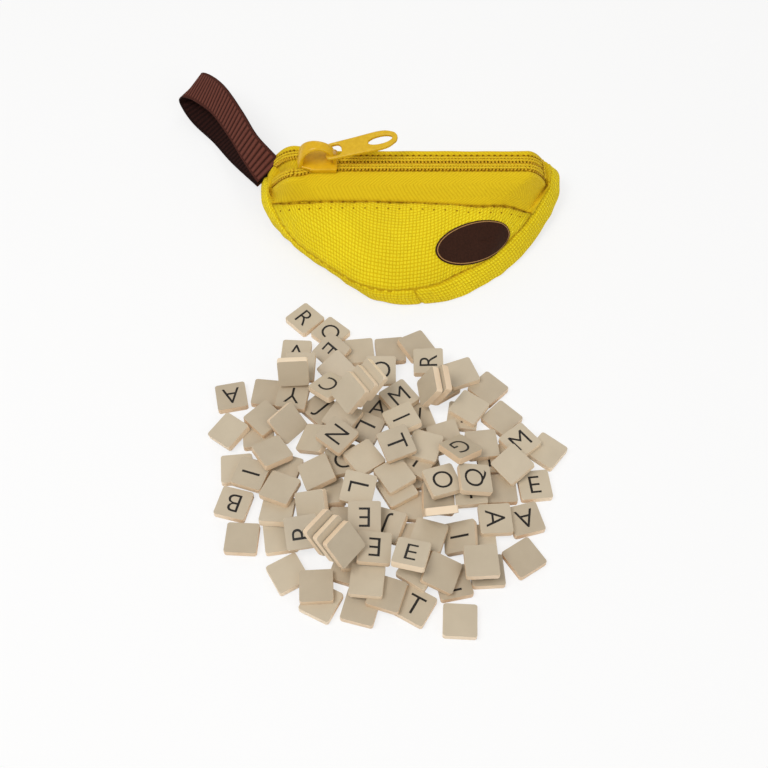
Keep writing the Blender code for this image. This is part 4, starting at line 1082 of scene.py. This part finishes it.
def ball_template():
    """A thread end: longer and blunter than a ball."""
    shape = bmesh.new()
    bmesh.ops.create_icosphere(shape, subdivisions=2, radius=0.5)
    points, faces = points_and_faces(shape)
    points[:, 0] = np.sign(points[:, 0]) * 0.5 * np.abs(2 * points[:, 0]) ** 0.8
    return points, faces


def stitches(name, items, finish):
    """One mesh of small thread ends: each item is centre, along, normal and its three sizes in mm."""
    base, faces = ball_template()
    points = []
    out = []
    for centre, along, normal, sizes in items:
        along = unit(along)
        normal = np.array(normal, float)
        normal = unit(normal - along * float(normal @ along))
        turn = np.stack([along, np.cross(normal, along), normal])
        start = len(points) * len(base)
        points.append((base * np.array(sizes) * MM) @ turn + np.array(centre, float))
        out += [tuple(start + v for v in f) for f in faces]
    return new_object(name, np.concatenate(points), out, [finish])


# Pouch

PANEL_COLUMNS = 330
PANEL_ROWS = 96
BAND_COLUMNS = 440
BAND_ROWS = 26
BACK_COLUMNS = 240
BACK_START = 0.075
BACK_END = 0.925
POUCH_MIDDLE = np.array([0.0, CASE_DEPTH / 3, 0.0])
LEVEL = np.array([1.0, 1.0, 0.0])


def build_panel(top):
    """The front half-moon, which runs on under the band and under the tape."""
    seam = guide(FRONT_SEAM_SHARES)
    near = resample(top, PANEL_COLUMNS, share_nearest(top, seam[0]), share_nearest(top, seam[-1]))
    far = resample(seam, PANEL_COLUMNS)
    rows = puffed(near, far, PANEL_ROWS, PANEL_PUFF, PANEL_UP)
    rows.insert(0, moved_towards(near, far, -0.5 * MM) + np.array([0.0, 0.0, -0.3 * MM]))
    for reach in (0.5, 1.0):
        rows.append(moved_towards(far, near, -reach * MM) + np.array([0.0, 0.0, -0.25 * reach * MM]))
    panel = cloth("pouch_front", rows, PANEL_UP, CLOTH, "canvas", "panel")
    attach(panel, "case")
    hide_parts("front_panel")
    return panel


def build_bands(low, top):
    for side, start, end in (("left", 0.0, BAND_SPLIT_SHARE), ("right", BAND_SPLIT_SHARE, 1.0)):
        count = int(BAND_COLUMNS * (end - start))
        lower = resample(low, count, start, end)
        upper = resample(top, count, start, end)
        away = unit((lower - POUCH_MIDDLE) * LEVEL)
        rows = [
            lower + (upper - lower) * w + away * BAND_BULGE * (1 - (2 * w - 1) ** 2)
            for w in np.linspace(0, 1, BAND_ROWS)
        ]
        band = cloth("pouch_band_" + side, rows, away[count // 2], CLOTH, "canvas", "band_" + side, 0.0)
        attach(band, "case")
        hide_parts("bottom_band_" + side)


def build_back(low):
    seat = CANVAS + SEAM_GAP + BAND_BULGE / 2
    inset = resample(low, BACK_COLUMNS, BACK_START, BACK_END)
    inward = unit((POUCH_MIDDLE - inset) * LEVEL)
    inset = inset + inward * seat
    inset[:, 2] = np.maximum(inset[:, 2] - BAND_LOW_SHARES[9][2] * RIDGE_HEIGHT * 1.6, 0.0)
    fold = resample(guide(BACK_FOLD_SHARES), BACK_COLUMNS)
    fold[:, 2] = np.maximum(fold[:, 2], 0.0)
    wall = resample(guide(BACK_WALL_SHARES), BACK_COLUMNS)
    upper = resample(guide(BACK_SEAM_SHARES), BACK_COLUMNS)
    rows = [inset + (fold - inset) * w for w in np.linspace(0, 1, 5)] + [wall, upper]
    back = cloth("pouch_back", smooth_rows(rows, 10), (0, 0, -1), CLOTH, "canvas", "back", 0.0)
    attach(back, "case")
    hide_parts("back_panel")


# Zip

SPLIT = -12.0 * MM
COIL_PITCH = 1.15 * MM
THREAD_PITCH = 1.9 * MM
HALF_CHAIN = CHAIN_WIDTH / 2
TAPE_COLUMNS = 330
END_COLUMNS = 16
# From where to where along the zip the tapes' inner edges part at the left and meet at the right
TAPE_PARTS = (-33.5 * MM, -36.5 * MM)
TAPE_MEETS = (38 * MM, 42 * MM)
COIL_TURN_POINTS = 14
COIL_WIRE_RADIUS = 0.36 * MM
COIL_WIRE_SIDES = 7
COIL_RISE = 0.42 * MM
NEEDLE_PITCH = 3.7 * MM
NEEDLE_DROP = 3.0 * MM
BAR_STITCHES = 9
# Each lip: its side and name, its tape's seam, swell and the way that it bulges, and how far the
# tape's inner edge hangs: the back one lies under the front one
LIPS = (
    (-1, "front", FRONT_SEAM_SHARES, 0.15, (0.0, -0.4, 1.0), 0.45),
    (1, "back", BACK_SEAM_SHARES, 0.19, (0.0, 0.9, 0.3), 1.0),
)
# Sizes of the threads in mm
SEAM_STITCH = (0.9, 0.5, 0.4)
NEEDLE_HOLE = (0.85, 0.7, 0.36)
COIL_STITCH = (1.35, 0.8, 0.5)
COIL_HOLE = (0.8, 0.6, 0.5)
BAR_STITCH = (1.5, 0.72, 0.5)


def halves():
    """The zip's two parts: the left one up to the split and the right one from it, each with its range along
    x and two places.
    """
    yield "left", -1.0, SPLIT, (-0.047, 0.0, 0.0), (-0.025, 0.0, 0.0)
    yield "right", SPLIT, 1.0, (0.022, 0.0, 0.0), (0.0, 0.0, 0.0)


def bend_with(obj):
    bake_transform(obj)


def band_rim(border, top, chain_end):
    """Places on the band's top edge that the tape's end runs down to, one for each of its rows."""
    share = lengths(border)
    share = share / share[-1]
    at_chain = share_nearest(top, chain_end)
    at_seam = share_nearest(top, border[-1])
    return along_curve(top, (at_chain + (at_seam - at_chain) * share) * lengths(top)[-1])


def closed_end(rows, column, top, x_end):
    """The tape's rows with columns added at one end, from its border down to the band's top edge."""
    border = rows[:, column]
    rim = band_rim(border, top, np.array(zip_centre(x_end)))
    way = 1.0 if column else -1.0
    added = []
    for w in np.arange(1, END_COLUMNS + 1) / END_COLUMNS:
        rise = math.sin(math.pi * w) * 0.7 * MM
        added.append(border + (rim - border) * w + rise * np.array([0.7 * way, 0.0, 0.7]))
    added = np.stack(added, axis=1)
    return np.concatenate([rows, added] if column else [added[:, ::-1], rows], axis=1)


def tape_rows(stations, side, seam, swell, bulge, drop):
    """Rows of a tape, from its inner edge under the coils to its seam."""
    inner = []
    for x in stations:
        # Behind the slider's nose the inner edges hang into the gap between the rows
        open_share = share_of(x, *TAPE_PARTS)
        end_share = share_of(x, *TAPE_MEETS)
        off = -0.1 * MM - open_share * (row_spread(x) + 0.15 * MM) - end_share * 0.15 * MM
        inner.append(tuple(zip_point(x, side, off, -drop * MM - open_share * 1.2 * MM)))
    rows = [np.array(inner)]
    for off, height in (
        (0.45 * MM, -0.5 * MM),
        (HALF_CHAIN - 0.6 * MM, -0.45 * MM),
        (HALF_CHAIN + 0.1 * MM, -0.15 * MM),
        (HALF_CHAIN + 0.45 * MM, TAPE / 2),
    ):
        rows.append(zip_row(stations, side, off, height))
    flat = zip_row(stations, side, HALF_CHAIN + SEAM_GAP + 1.5 * MM, TAPE / 2)
    edge = resample(guide(seam), len(stations))
    return smooth_rows(rows + puffed(flat, edge, 15, PANEL_PUFF * swell, bulge), 3)


def build_tapes(top):
    """Tapes that run on under the coils and close the pouch's ends down to the band."""
    stations = zip_stations(TAPE_COLUMNS)
    cut = END_COLUMNS + int(np.argmin(np.abs(stations - SPLIT)))
    parts = {"left": slice(0, cut + 1), "right": slice(cut, None)}
    for side, name, seam, swell, bulge, drop in LIPS:
        rows = tape_rows(stations, side, seam, swell, bulge, drop)
        for column, x_end in ((0, -ZIP_LEFT_END), (-1, ZIP_RIGHT_END)):
            rows = closed_end(rows, column, top, x_end)
        for part, _, _, bend_start, bend_end in halves():
            piece = cloth(f"{name}_tape_{part}", rows, bulge, TAPE_CLOTH, "tape", "tape", columns=parts[part])
            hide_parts(name + "_tape")
            bend_with(piece)


def chain_places(low, high, pitch):
    """Values of x along the chain, a fixed distance apart."""
    xs = zip_stations(900)
    length = lengths(zip_line(xs))
    wanted = np.arange(0.4 * MM, length[-1] - 0.3 * MM, pitch)
    return [float(x) for x in np.interp(wanted, length, xs) if low <= x < high]


def build_coil(side, name, part, low, high):
    """A row's coil wound along the chain. The back row is half a turn on from the front one."""
    phase = 0.0 if side < 0 else math.pi
    path = []
    for k, x in enumerate(chain_places(-1.0, 1.0, COIL_PITCH / COIL_TURN_POINTS)):
        if low <= x < high:
            angle = 2 * math.pi * k / COIL_TURN_POINTS + phase
            off = HALF_CHAIN / 2 - 0.1 * MM + (HALF_CHAIN / 2 - 0.15 * MM) * math.cos(angle)
            path.append(tuple(zip_point(x, side, off, COIL_RISE * math.sin(angle))))
    points, faces = tube(path, COIL_WIRE_RADIUS, COIL_WIRE_SIDES, (1.0, 0.0, 0.0))
    return new_object(f"{name}_coil_{part}", points, faces, ["coil"])


def coil_threads(side, low, high):
    """Stitches that hold a coil, like two ropes, and the needle holes beside it."""
    sewn = []
    for x in chain_places(low, high, THREAD_PITCH / 2):
        _, heading, across, normal = zip_frame(x)
        lean = heading + across * (0.4 * side)
        for off in (0.95 * MM, 1.95 * MM):
            sewn.append((zip_point(x, side, off, 0.72 * MM), lean, normal, COIL_STITCH))
    holes = []
    for x in chain_places(low, high, THREAD_PITCH):
        if abs(x - SLIDER_REST) >= SLIDER_LENGTH * 0.55:
            _, heading, _, normal = zip_frame(x)
            spot = zip_point(x, side, HALF_CHAIN + 0.22 * MM, 0.3 * MM)
            holes.append((spot, heading, normal, COIL_HOLE))
    return sewn, holes


def build_coils():
    for side, name, *_ in LIPS:
        for part, low, high, bend_start, bend_end in halves():
            coil = build_coil(side, name, part, low, high)
            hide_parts(name + "_coil")
            bend_with(coil)
            sewn, holes = coil_threads(side, low, high)
            for kind, items, finish in (("seam", sewn, "thread"), ("holes", holes, "thread_dark")):
                piece = stitches(f"{name}_{kind}_{part}", items, finish)
                bend_with(piece)


def surface_under(panel):
    """Tree of a piece's faces, in which places on it are found."""
    return BVHTree.FromObject(panel, bpy.context.evaluated_depsgraph_get())


def surface_spot(tree, x, y):
    """Point and normal of the pouch's face under a place in plan."""
    hit, normal, _, _ = tree.ray_cast(Vector((x, y, 0.2)), Vector((0, 0, -1)))
    if hit is None:
        return None, None
    return hit, (normal if normal.z > 0 else -normal)


def build_seam_stitches(panel):
    """Thread in the needle holes below the tape, in the seam itself, and the bar over the chain's end."""
    tree = surface_under(panel)
    seam = resample(guide(FRONT_SEAM_SHARES), 400)
    seam_length = lengths(seam)[-1]
    marks = np.arange(2.5 * MM, seam_length - 2.5 * MM, 2 * THREAD_PITCH)
    places = along_curve(seam, marks)
    headings = along_curve(seam, marks + 0.5 * MM) - places
    places += np.array([0.0, -0.25, 0.05]) * MM
    items = [(at, heading, (0, -0.5, 0.85), SEAM_STITCH) for at, heading in zip(places, headings)]
    thread = stitches("seam_thread", items, "thread_dark")
    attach(thread, "case")

    items = []
    for x, y, _ in along_curve(seam, np.arange(3 * MM, seam_length - 3 * MM, NEEDLE_PITCH)):
        hit, normal = surface_spot(tree, x, y - NEEDLE_DROP)
        if hit is not None:
            items.append((hit - normal * 0.1 * MM, (1, 0.05, 0), normal, NEEDLE_HOLE))
    thread = stitches("needle_holes", items, "thread_dark")
    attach(thread, "case")

    centre, heading, across, normal = zip_frame(ZIP_RIGHT_END - 1.6 * MM)
    items = []
    for k in range(BAR_STITCHES):
        spot = centre + across * ((k - BAR_STITCHES // 2) * 0.72 * MM) + normal * (1.28 * MM)
        items.append((spot, heading + across * (0.25 if k % 2 else -0.25), normal, BAR_STITCH))
    bar = stitches("zip_end_bar", items, "thread")
    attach(bar, "case")
    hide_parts("zip_tack")


# Rings of the oval patch: distance from the rim and lift of the face in mm, and the finish inside
LABEL_RINGS = (
    (0.0, 0.05, "field"), (0.05, 0.42, "field"), (0.38, 0.55, "field"), (0.44, 0.59, "ring"),
    (0.5, 0.62, "ring"), (0.72, 0.62, "ring"), (0.8, 0.57, "field"), (1.5, 0.55, "field"),
    (3.0, 0.56, "field"), (5.0, 0.56, "field"), (6.2, 0.56, "field"),
)
LABEL_SPOKES = 120
LABEL_MIDDLE_LIFT = 0.56


def cast_on_panel(tree, centre, normal, spoke):
    """Place on the panel under a spoke's end, drawn in where the seam cuts the patch."""
    hit = None
    share = 1.0
    while hit is None and share > 0.2:
        hit, _, _, _ = tree.ray_cast(centre + spoke * share + normal * 0.02, -normal, 0.04)
        if hit is not None and (hit - centre).dot(normal) < -4.5 * MM:
            hit = None
        share -= 0.01
    return hit


def build_label(panel):
    """Oval patch on the front, cut where the band's seam crosses it, with a tan ring inside its rim."""
    tree = surface_under(panel)
    centre, normal = surface_spot(tree, LABEL_X, LABEL_Y)
    flat = Vector((math.cos(LABEL_TURN), math.sin(LABEL_TURN), 0))
    long_way = (flat - normal * flat.dot(normal)).normalized()
    short_way = normal.cross(long_way)
    points = []
    for inset, lift, _ in LABEL_RINGS:
        long_half = LABEL_LENGTH / 2 - inset * MM
        short_half = LABEL_WIDTH / 2 - inset * MM
        for k in range(LABEL_SPOKES):
            angle = 2 * math.pi * k / LABEL_SPOKES
            spoke = long_way * (long_half * math.cos(angle)) + short_way * (short_half * math.sin(angle))
            points.append(cast_on_panel(tree, centre, normal, spoke) + normal * (lift * MM))
    points.append(centre + normal * (LABEL_MIDDLE_LIFT * MM))
    faces = ring_faces(len(LABEL_RINGS), LABEL_SPOKES)
    finishes = [finish for _, _, finish in LABEL_RINGS]
    slots = []
    for here, inside in zip(finishes, finishes[1:]):
        slots += [1 if here == inside == "ring" else 0] * LABEL_SPOKES
    last = (len(LABEL_RINGS) - 1) * LABEL_SPOKES
    for k in range(LABEL_SPOKES):
        faces.append((last + k, last + (k + 1) % LABEL_SPOKES, len(points) - 1))
        slots.append(0)
    materials = ["label_field", "label_ring"]
    patch = new_object("oval_patch", [tuple(p) for p in points], faces, materials, slots=slots)
    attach(patch, "case")
    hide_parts("label_patch")


# Hand loop


RIB_PITCH = 1.9 * MM
EDGE_RIB_PITCH = 0.68 * MM
LOOP_STEP = 0.14 * MM
# Places across the ribbon as shares of its width
RIBBON_HALF = (0.0, 0.15, 0.3, 0.40, 0.43, 0.465, 0.492, 0.5)
RIBBON_ACROSS = np.array([-w for w in RIBBON_HALF[:0:-1]] + list(RIBBON_HALF))


def loop_route():
    """Points along the ribbon's middle, the way across it and its face, and the distance along it."""
    places = [LOOP_ROOT + Vector(s) * LOOP_LENGTH for s in LOOP_SHARES]
    leans = [Vector(s).normalized() for s in LOOP_LEAN_SHARES]
    # Both ends run into the seam at the zip's end
    places[0] = places[0] + LOOP_START_SHIFT
    places[-1] = places[-1] + LOOP_END_SHIFT
    leans[-1] = Vector((-0.60, -0.75, -0.25)).normalized()
    guide_line = catmull(places, 60)
    wanted = np.arange(0.0, lengths(guide_line)[-1], LOOP_STEP)
    route = along_curve(guide_line, wanted)
    lean = along_curve(catmull(leans, 60), wanted, guide_line)
    heading = unit(np.gradient(route, axis=0))
    lean = unit(lean - heading * np.sum(lean * heading, axis=1)[:, None])
    return route, lean, np.cross(heading, lean), wanted


def build_loop():
    """Ribbed ribbon: crosswise ribs on both faces and a denser selvedge along both edges."""
    route, lean, face, wanted = loop_route()
    rib = np.abs(np.sin(math.pi * wanted / RIB_PITCH)) ** 0.7
    edge_rib = np.abs(np.sin(math.pi * wanted / EDGE_RIB_PITCH))
    outside = 1 if float(np.sum(face * (route - route.mean(axis=0)))) > 0 else -1
    layers = []
    rib_shades = []
    for sign in (1, -1):
        for w in RIBBON_ACROSS:
            lift, shown = 0.22 * MM + 0.28 * MM * rib, rib
            if abs(w) > 0.495:
                lift, shown = np.full(len(wanted), 0.10 * MM), np.full(len(wanted), 0.3)
            elif abs(w) > 0.42:
                lift, shown = 0.32 * MM + 0.1 * MM * edge_rib, 0.3 + 0.3 * edge_rib
            # Less light gets at the ribs inside the loop
            rib_shades.append(shown if sign == outside else shown * 0.3 - 0.15)
            layers.append(route + lean * (WEBBING_WIDTH * w) + face * (lift * sign)[:, None])
    faces = grid_faces(len(RIBBON_ACROSS), len(wanted), False)
    loop = new_object("hand_loop", np.concatenate(layers), faces, ["webbing"])
    # The rib values carry painted shade: low in the grooves and lowered on the loop's inner face
    mark(loop, "rib", np.concatenate(rib_shades))
    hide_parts("webbing_loop")
    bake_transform(loop)


# Slider

CROWN_REACH = 6.3 * MM
CROWN_FOOT = 0.4 * MM
ENAMEL_SHARP = 40.0
# Half outlines in mm, from the slider's middle and from the tab's hinge
NOSE_OUTLINE = [
    (-6.6, 0.9), (-6.1, 2.1), (-5.0, 2.9), (-3.6, 3.3), (-2.5, 3.6), (-2.1, 4.05), (5.9, 4.05), (6.5, 3.4),
]
FLANGE_OUTLINE = [(-1.9, 3.42), (6.2, 3.42), (6.2, 4.0), (-1.9, 4.0)]
TAB_OUTLINE = [
    (-0.8, 2.4), (0.6, 3.0), (4.5, 3.1), (9.0, 3.2), (16.5, 3.5), (19.6, 3.2), (22.3, 1.7), (22.9, 0.5),
]


def soft_plate(outlines, low, high, soft):
    """A plate with rounded rims: outlines are the rim and its holes, all counter-clockwise."""
    shape = bmesh.new()
    loops = [[shape.verts.new((x, y, high)) for x, y in outline] for outline in outlines]
    edges = [shape.edges.new(pair) for loop in loops for pair in zip(loop, loop[1:] + loop[:1])]
    bmesh.ops.triangle_fill(shape, use_beauty=True, edges=edges, normal=(0, 0, 1))
    top = list(shape.faces)
    made = bmesh.ops.extrude_face_region(shape, geom=top)["geom"]
    for vert in (v for v in made if isinstance(v, bmesh.types.BMVert)):
        vert.co.z = low
    bmesh.ops.recalc_face_normals(shape, faces=list(shape.faces))
    rims = [
        e for e in shape.edges
        if len(e.link_faces) == 2
        and abs(e.verts[0].co.z - e.verts[1].co.z) < 1e-9
        and abs(e.link_faces[0].normal.z - e.link_faces[1].normal.z) > 0.5
    ]
    bmesh.ops.bevel(shape, geom=rims, offset=soft, segments=3, profile=0.5, affect="EDGES")
    return points_and_faces(shape)


def joined(pieces):
    points = []
    faces = []
    for piece_points, piece_faces in pieces:
        start = sum(len(p) for p in points)
        points.append(piece_points)
        faces += [tuple(start + v for v in f) for f in piece_faces]
    return np.concatenate(points), faces


def rounded_path(corners, radius, steps=5):
    """A closed outline through corners in mm, each rounded off."""
    out = []
    corners = np.array(corners, float) * MM
    radius *= MM
    for before, here, after in zip(np.roll(corners, 1, axis=0), corners, np.roll(corners, -1, axis=0)):
        sides = (before - here, after - here)
        reach = min(radius, *(0.45 * np.linalg.norm(side) for side in sides))
        first, last = (here + unit(side) * reach for side in sides)
        for t in np.linspace(0, 1, steps):
            out.append(tuple(first * (1 - t) ** 2 + here * 2 * t * (1 - t) + last * t * t))
    return out


def crown(plate_top):
    """The arch over the top plate: slim where the tab hangs on it and broad over the nose."""
    turns = np.linspace(0, math.pi, 45)
    side = np.linspace(0, 2 * math.pi, 24, endpoint=False)
    # A section with soft corners: its places across the arch and out from it
    across = np.copysign(np.abs(np.cos(side)) ** 0.7, np.cos(side))
    outward = np.copysign(np.abs(np.sin(side)) ** 0.7, np.sin(side))
    points = []
    for t in turns:
        share = eased(share_of(t / math.pi, 0.36, 1.0))
        width = (3.3 + 2.3 * share) * MM
        thick = (1.35 + 0.65 * share) * MM
        reach = CROWN_REACH - thick / 2
        rise = CROWN_HEIGHT - thick / 2
        foot = CROWN_FOOT if t in (turns[0], turns[-1]) else 0.0
        centre = np.array([reach * math.cos(t), 0.0, plate_top + rise * math.sin(t) ** 0.9 - foot])
        out = unit([math.cos(t) / reach, 0.0, math.sin(t) / rise])
        sideways = np.array([0.0, width / 2, 0.0])
        points.append(centre + across[:, None] * sideways + outward[:, None] * out * (thick / 2))
    return np.concatenate(points), capped(len(turns), len(side))


def build_slider(place, plate_top):
    """The slider's two plates with their flanges, and the crown over them."""
    half = plate_top - SLIDER_PLATE
    slot = TAPE / 2 + SLIDER_CLEARANCE
    rim = rounded_path(NOSE_OUTLINE[::-1] + [(x, -y) for x, y in NOSE_OUTLINE], 1.0)[::-1]
    pieces = [
        soft_plate([rim], half, plate_top, 0.34 * MM),
        soft_plate([rim], -plate_top, -half, 0.34 * MM),
        crown(plate_top),
    ]
    for side in (-1, 1):
        flange = rounded_path([(x, y * side) for x, y in FLANGE_OUTLINE][::side], 0.15, 3)
        for low, high in ((slot, half + 0.3 * MM), (-half - 0.3 * MM, -slot)):
            pieces.append(soft_plate([flange], low, high, 0.06 * MM))
    points, faces = joined(pieces)
    body = new_object("zip_slider", points, faces, ["slider_enamel"], sharp=ENAMEL_SHARP)
    body.data.transform(place)
    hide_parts("slider_body")
    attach(body, "slider")


def build_puller(place, plate_top):
    """The tab, with its eye over the crown and its long hole."""
    rim = rounded_path([(x, -y) for x, y in TAB_OUTLINE] + TAB_OUTLINE[::-1], 1.6)
    eye = rounded_rectangle(0.55 * MM, 4.5 * MM, 2.05 * MM, 1.5 * MM, 6)
    turns = np.linspace(0, 2 * math.pi, 40)[:-1]
    long_hole = [((17.2 + 4.0 * math.cos(a)) * MM, 1.5 * math.sin(a) * MM) for a in turns]
    points, faces = soft_plate([rim, eye, long_hole], -TAB_THICK / 2, TAB_THICK / 2, 0.32 * MM)
    tab = new_object("zip_puller", points, faces, ["tab_enamel"], sharp=ENAMEL_SHARP)
    hinge = Vector((SLIDER_LENGTH / 2 - PIVOT_FROM_TAIL, 0.0, plate_top + PIVOT_ABOVE_PLATE))
    tilt = Matrix.Rotation(TAB_YAW, 4, "Z") @ Matrix.Rotation(-TAB_TILT, 4, "Y")
    tab.data.transform(place @ Matrix.Translation(hinge + TAB_SHIFT) @ tilt)
    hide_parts("pull_tab")
    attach(tab, "pull_tab")


def dress_slider():
    plate_top = CHAIN_THICK / 2 + SLIDER_CLEARANCE + SLIDER_PLATE
    centre, along, across, normal = zip_frame(SLIDER_REST)
    place = Matrix.Translation(centre) @ Matrix((along, across, normal)).transposed().to_4x4()
    build_slider(place, plate_top)
    build_puller(place, plate_top)


# Tiles

TILE_BEVEL = 0.2 * MM
TILE_SHARP = 18.0
LETTER_HEIGHT = 5.35 * MM
INK_LIFT = 0.02 * MM
# Letters on the lower tiles, in the order of their places. A dot is a tile that lies face down
FLOOR_LETTERS = "RO.J.CAA..B.I....T..E.IC.EA..L....."
SECOND_LETTERS = "EAY..L..I..J....I.M.V.C.IAIEI."


def tile_template():
    """A tile with round corners and soft edges: points, faces and which faces are its sides."""
    outline = tile_outline(6)
    shape = bmesh.new()
    low, high = ([shape.verts.new((x, y, z)) for x, y in outline] for z in (-TILE_THICK / 2, TILE_THICK / 2))
    shape.faces.new(low[::-1])
    shape.faces.new(high)
    for k in range(len(outline)):
        after = (k + 1) % len(outline)
        shape.faces.new((low[k], low[after], high[after], high[k]))
    rims = [e for e in shape.edges if abs(e.verts[0].co.z - e.verts[1].co.z) < 1e-9]
    bmesh.ops.bevel(shape, geom=rims, offset=TILE_BEVEL, segments=2, profile=0.5, affect="EDGES")
    shape.normal_update()
    sides = [0 if abs(f.normal.z) > 0.75 else 1 for f in shape.faces]
    return *points_and_faces(shape), sides


def letter_shapes(letters):
    """Flat capitals, as tall as on the tiles, centred on their own box."""
    out = {}
    scale = None
    for letter in "E" + "".join(sorted(set(letters) - {"E", "."})):
        curve = bpy.data.curves.new("capital", "FONT")
        curve.body = letter
        curve.size = 1.0
        curve.offset = -0.006
        curve.resolution_u = 5
        obj = bpy.data.objects.new("capital", curve)
        bpy.context.scene.collection.objects.link(obj)
        bpy.context.view_layer.update()
        mesh = bpy.data.meshes.new_from_object(obj.evaluated_get(bpy.context.evaluated_depsgraph_get()))
        points = np.array([v.co[:2] for v in mesh.vertices])
        faces = [tuple(f.vertices) for f in mesh.polygons]
        bpy.data.objects.remove(obj, do_unlink=True)
        bpy.data.meshes.remove(mesh)
        if scale is None:
            scale = LETTER_HEIGHT / (points[:, 1].max() - points[:, 1].min())
        middle = (points.max(axis=0) + points.min(axis=0)) / 2
        out[letter] = ((points - middle) * scale, faces)
    return out


def pose_tiles():
    """Places of all tiles, found as in the solids: laid down one after another on what lies there."""
    reach = TILE_WIDTH * 7.5
    pile = HeightMap((-reach, PILE_BACK - TILE_WIDTH * 13), (reach, PILE_BACK + TILE_WIDTH))
    lower = []
    for level, places in enumerate((FLOOR_TILE_SHARES, SECOND_TILE_SHARES, THIRD_TILE_SHARES)):
        for x, y, turn in spread_apart(places, TILE_GAP * (2 if level == 0 else 1)):
            pose = settle(pile, x, y, turn, -TILE_SINK if level else 0.0)
            pile.add(pose)
            lower.append(pose)
    upper = []
    for name, sx, sy, turn in TOP_TILE_SHARES:
        pose = settle(pile, sx * TILE_WIDTH, PILE_BACK + sy * TILE_WIDTH, math.radians(turn), TILE_GAP)
        pile.add(pose)
        upper.append(("tile_" + name, name[0], pose))
    for name, sx, sy, turn, lean, count in FAN_TILE_SHARES:
        x = sx * TILE_WIDTH
        y = PILE_BACK + sy * TILE_WIDTH
        for k, pose in enumerate(fan(pile, x, y, math.radians(turn), math.radians(lean), count), 1):
            upper.append((f"tile_{name}{k}", ".", pose))
    return lower, upper


def tile_set(name, items, shapes, template, seed):
    """Tiles with their letters as one mesh. Each item is a pose and its letter."""
    rng = np.random.default_rng(seed)
    base, base_faces, sides = template
    points = []
    faces = []
    slots = []
    tones = []
    total = 0
    for pose, letter in items:
        turn = np.array(pose)[:3, :3]
        spot = np.array(pose)[:3, 3]
        points.append(base @ turn.T + spot)
        faces += [tuple(total + v for v in f) for f in base_faces]
        slots += sides
        tones += [rng.uniform(0.0, 1.0)] * len(base)
        total += len(base)
        if letter == ".":
            continue
        flat, letter_faces = shapes[letter]
        raised = np.pad(flat, ((0, 0), (0, 1)), constant_values=TILE_THICK / 2 + INK_LIFT)
        points.append(raised @ turn.T + spot)
        faces += [tuple(total + v for v in f) for f in letter_faces]
        slots += [2] * len(letter_faces)
        tones += [0.5] * len(flat)
        total += len(flat)
    finishes = ["tile_top", "tile_side_painted_light", "ink"]
    obj = new_object(name, np.concatenate(points), faces, finishes, slots=slots, sharp=TILE_SHARP)
    mark(obj, "tone", tones)
    return obj


def build_tile_sets():
    lower, upper = pose_tiles()
    letters = FLOOR_LETTERS + SECOND_LETTERS + "." * len(THIRD_TILE_SHARES)
    shapes = letter_shapes(letters + "".join(letter for _, letter, _ in upper))
    template = tile_template()
    heap = tile_set("lower_tiles", list(zip(lower, letters)), shapes, template, 5)
    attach(heap, "tiles_lower")
    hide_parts(*[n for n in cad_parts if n.startswith("tile_group_")])
    for number, (node, letter, pose) in enumerate(upper):
        tile = tile_set("face_" + node, [(pose, letter)], shapes, template, 40 + number)
        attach(tile, "tiles_upper")
        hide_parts(node)


build_stage()
MATERIALS = build_materials()
band_low = guide(BAND_LOW_SHARES)
band_top = guide(BAND_TOP_SHARES)
front = build_panel(band_top)
build_bands(band_low, band_top)
build_back(band_low)
build_tapes(band_top)
build_coils()
build_seam_stitches(front)
build_label(front)
build_loop()
dress_slider()
build_tile_sets()
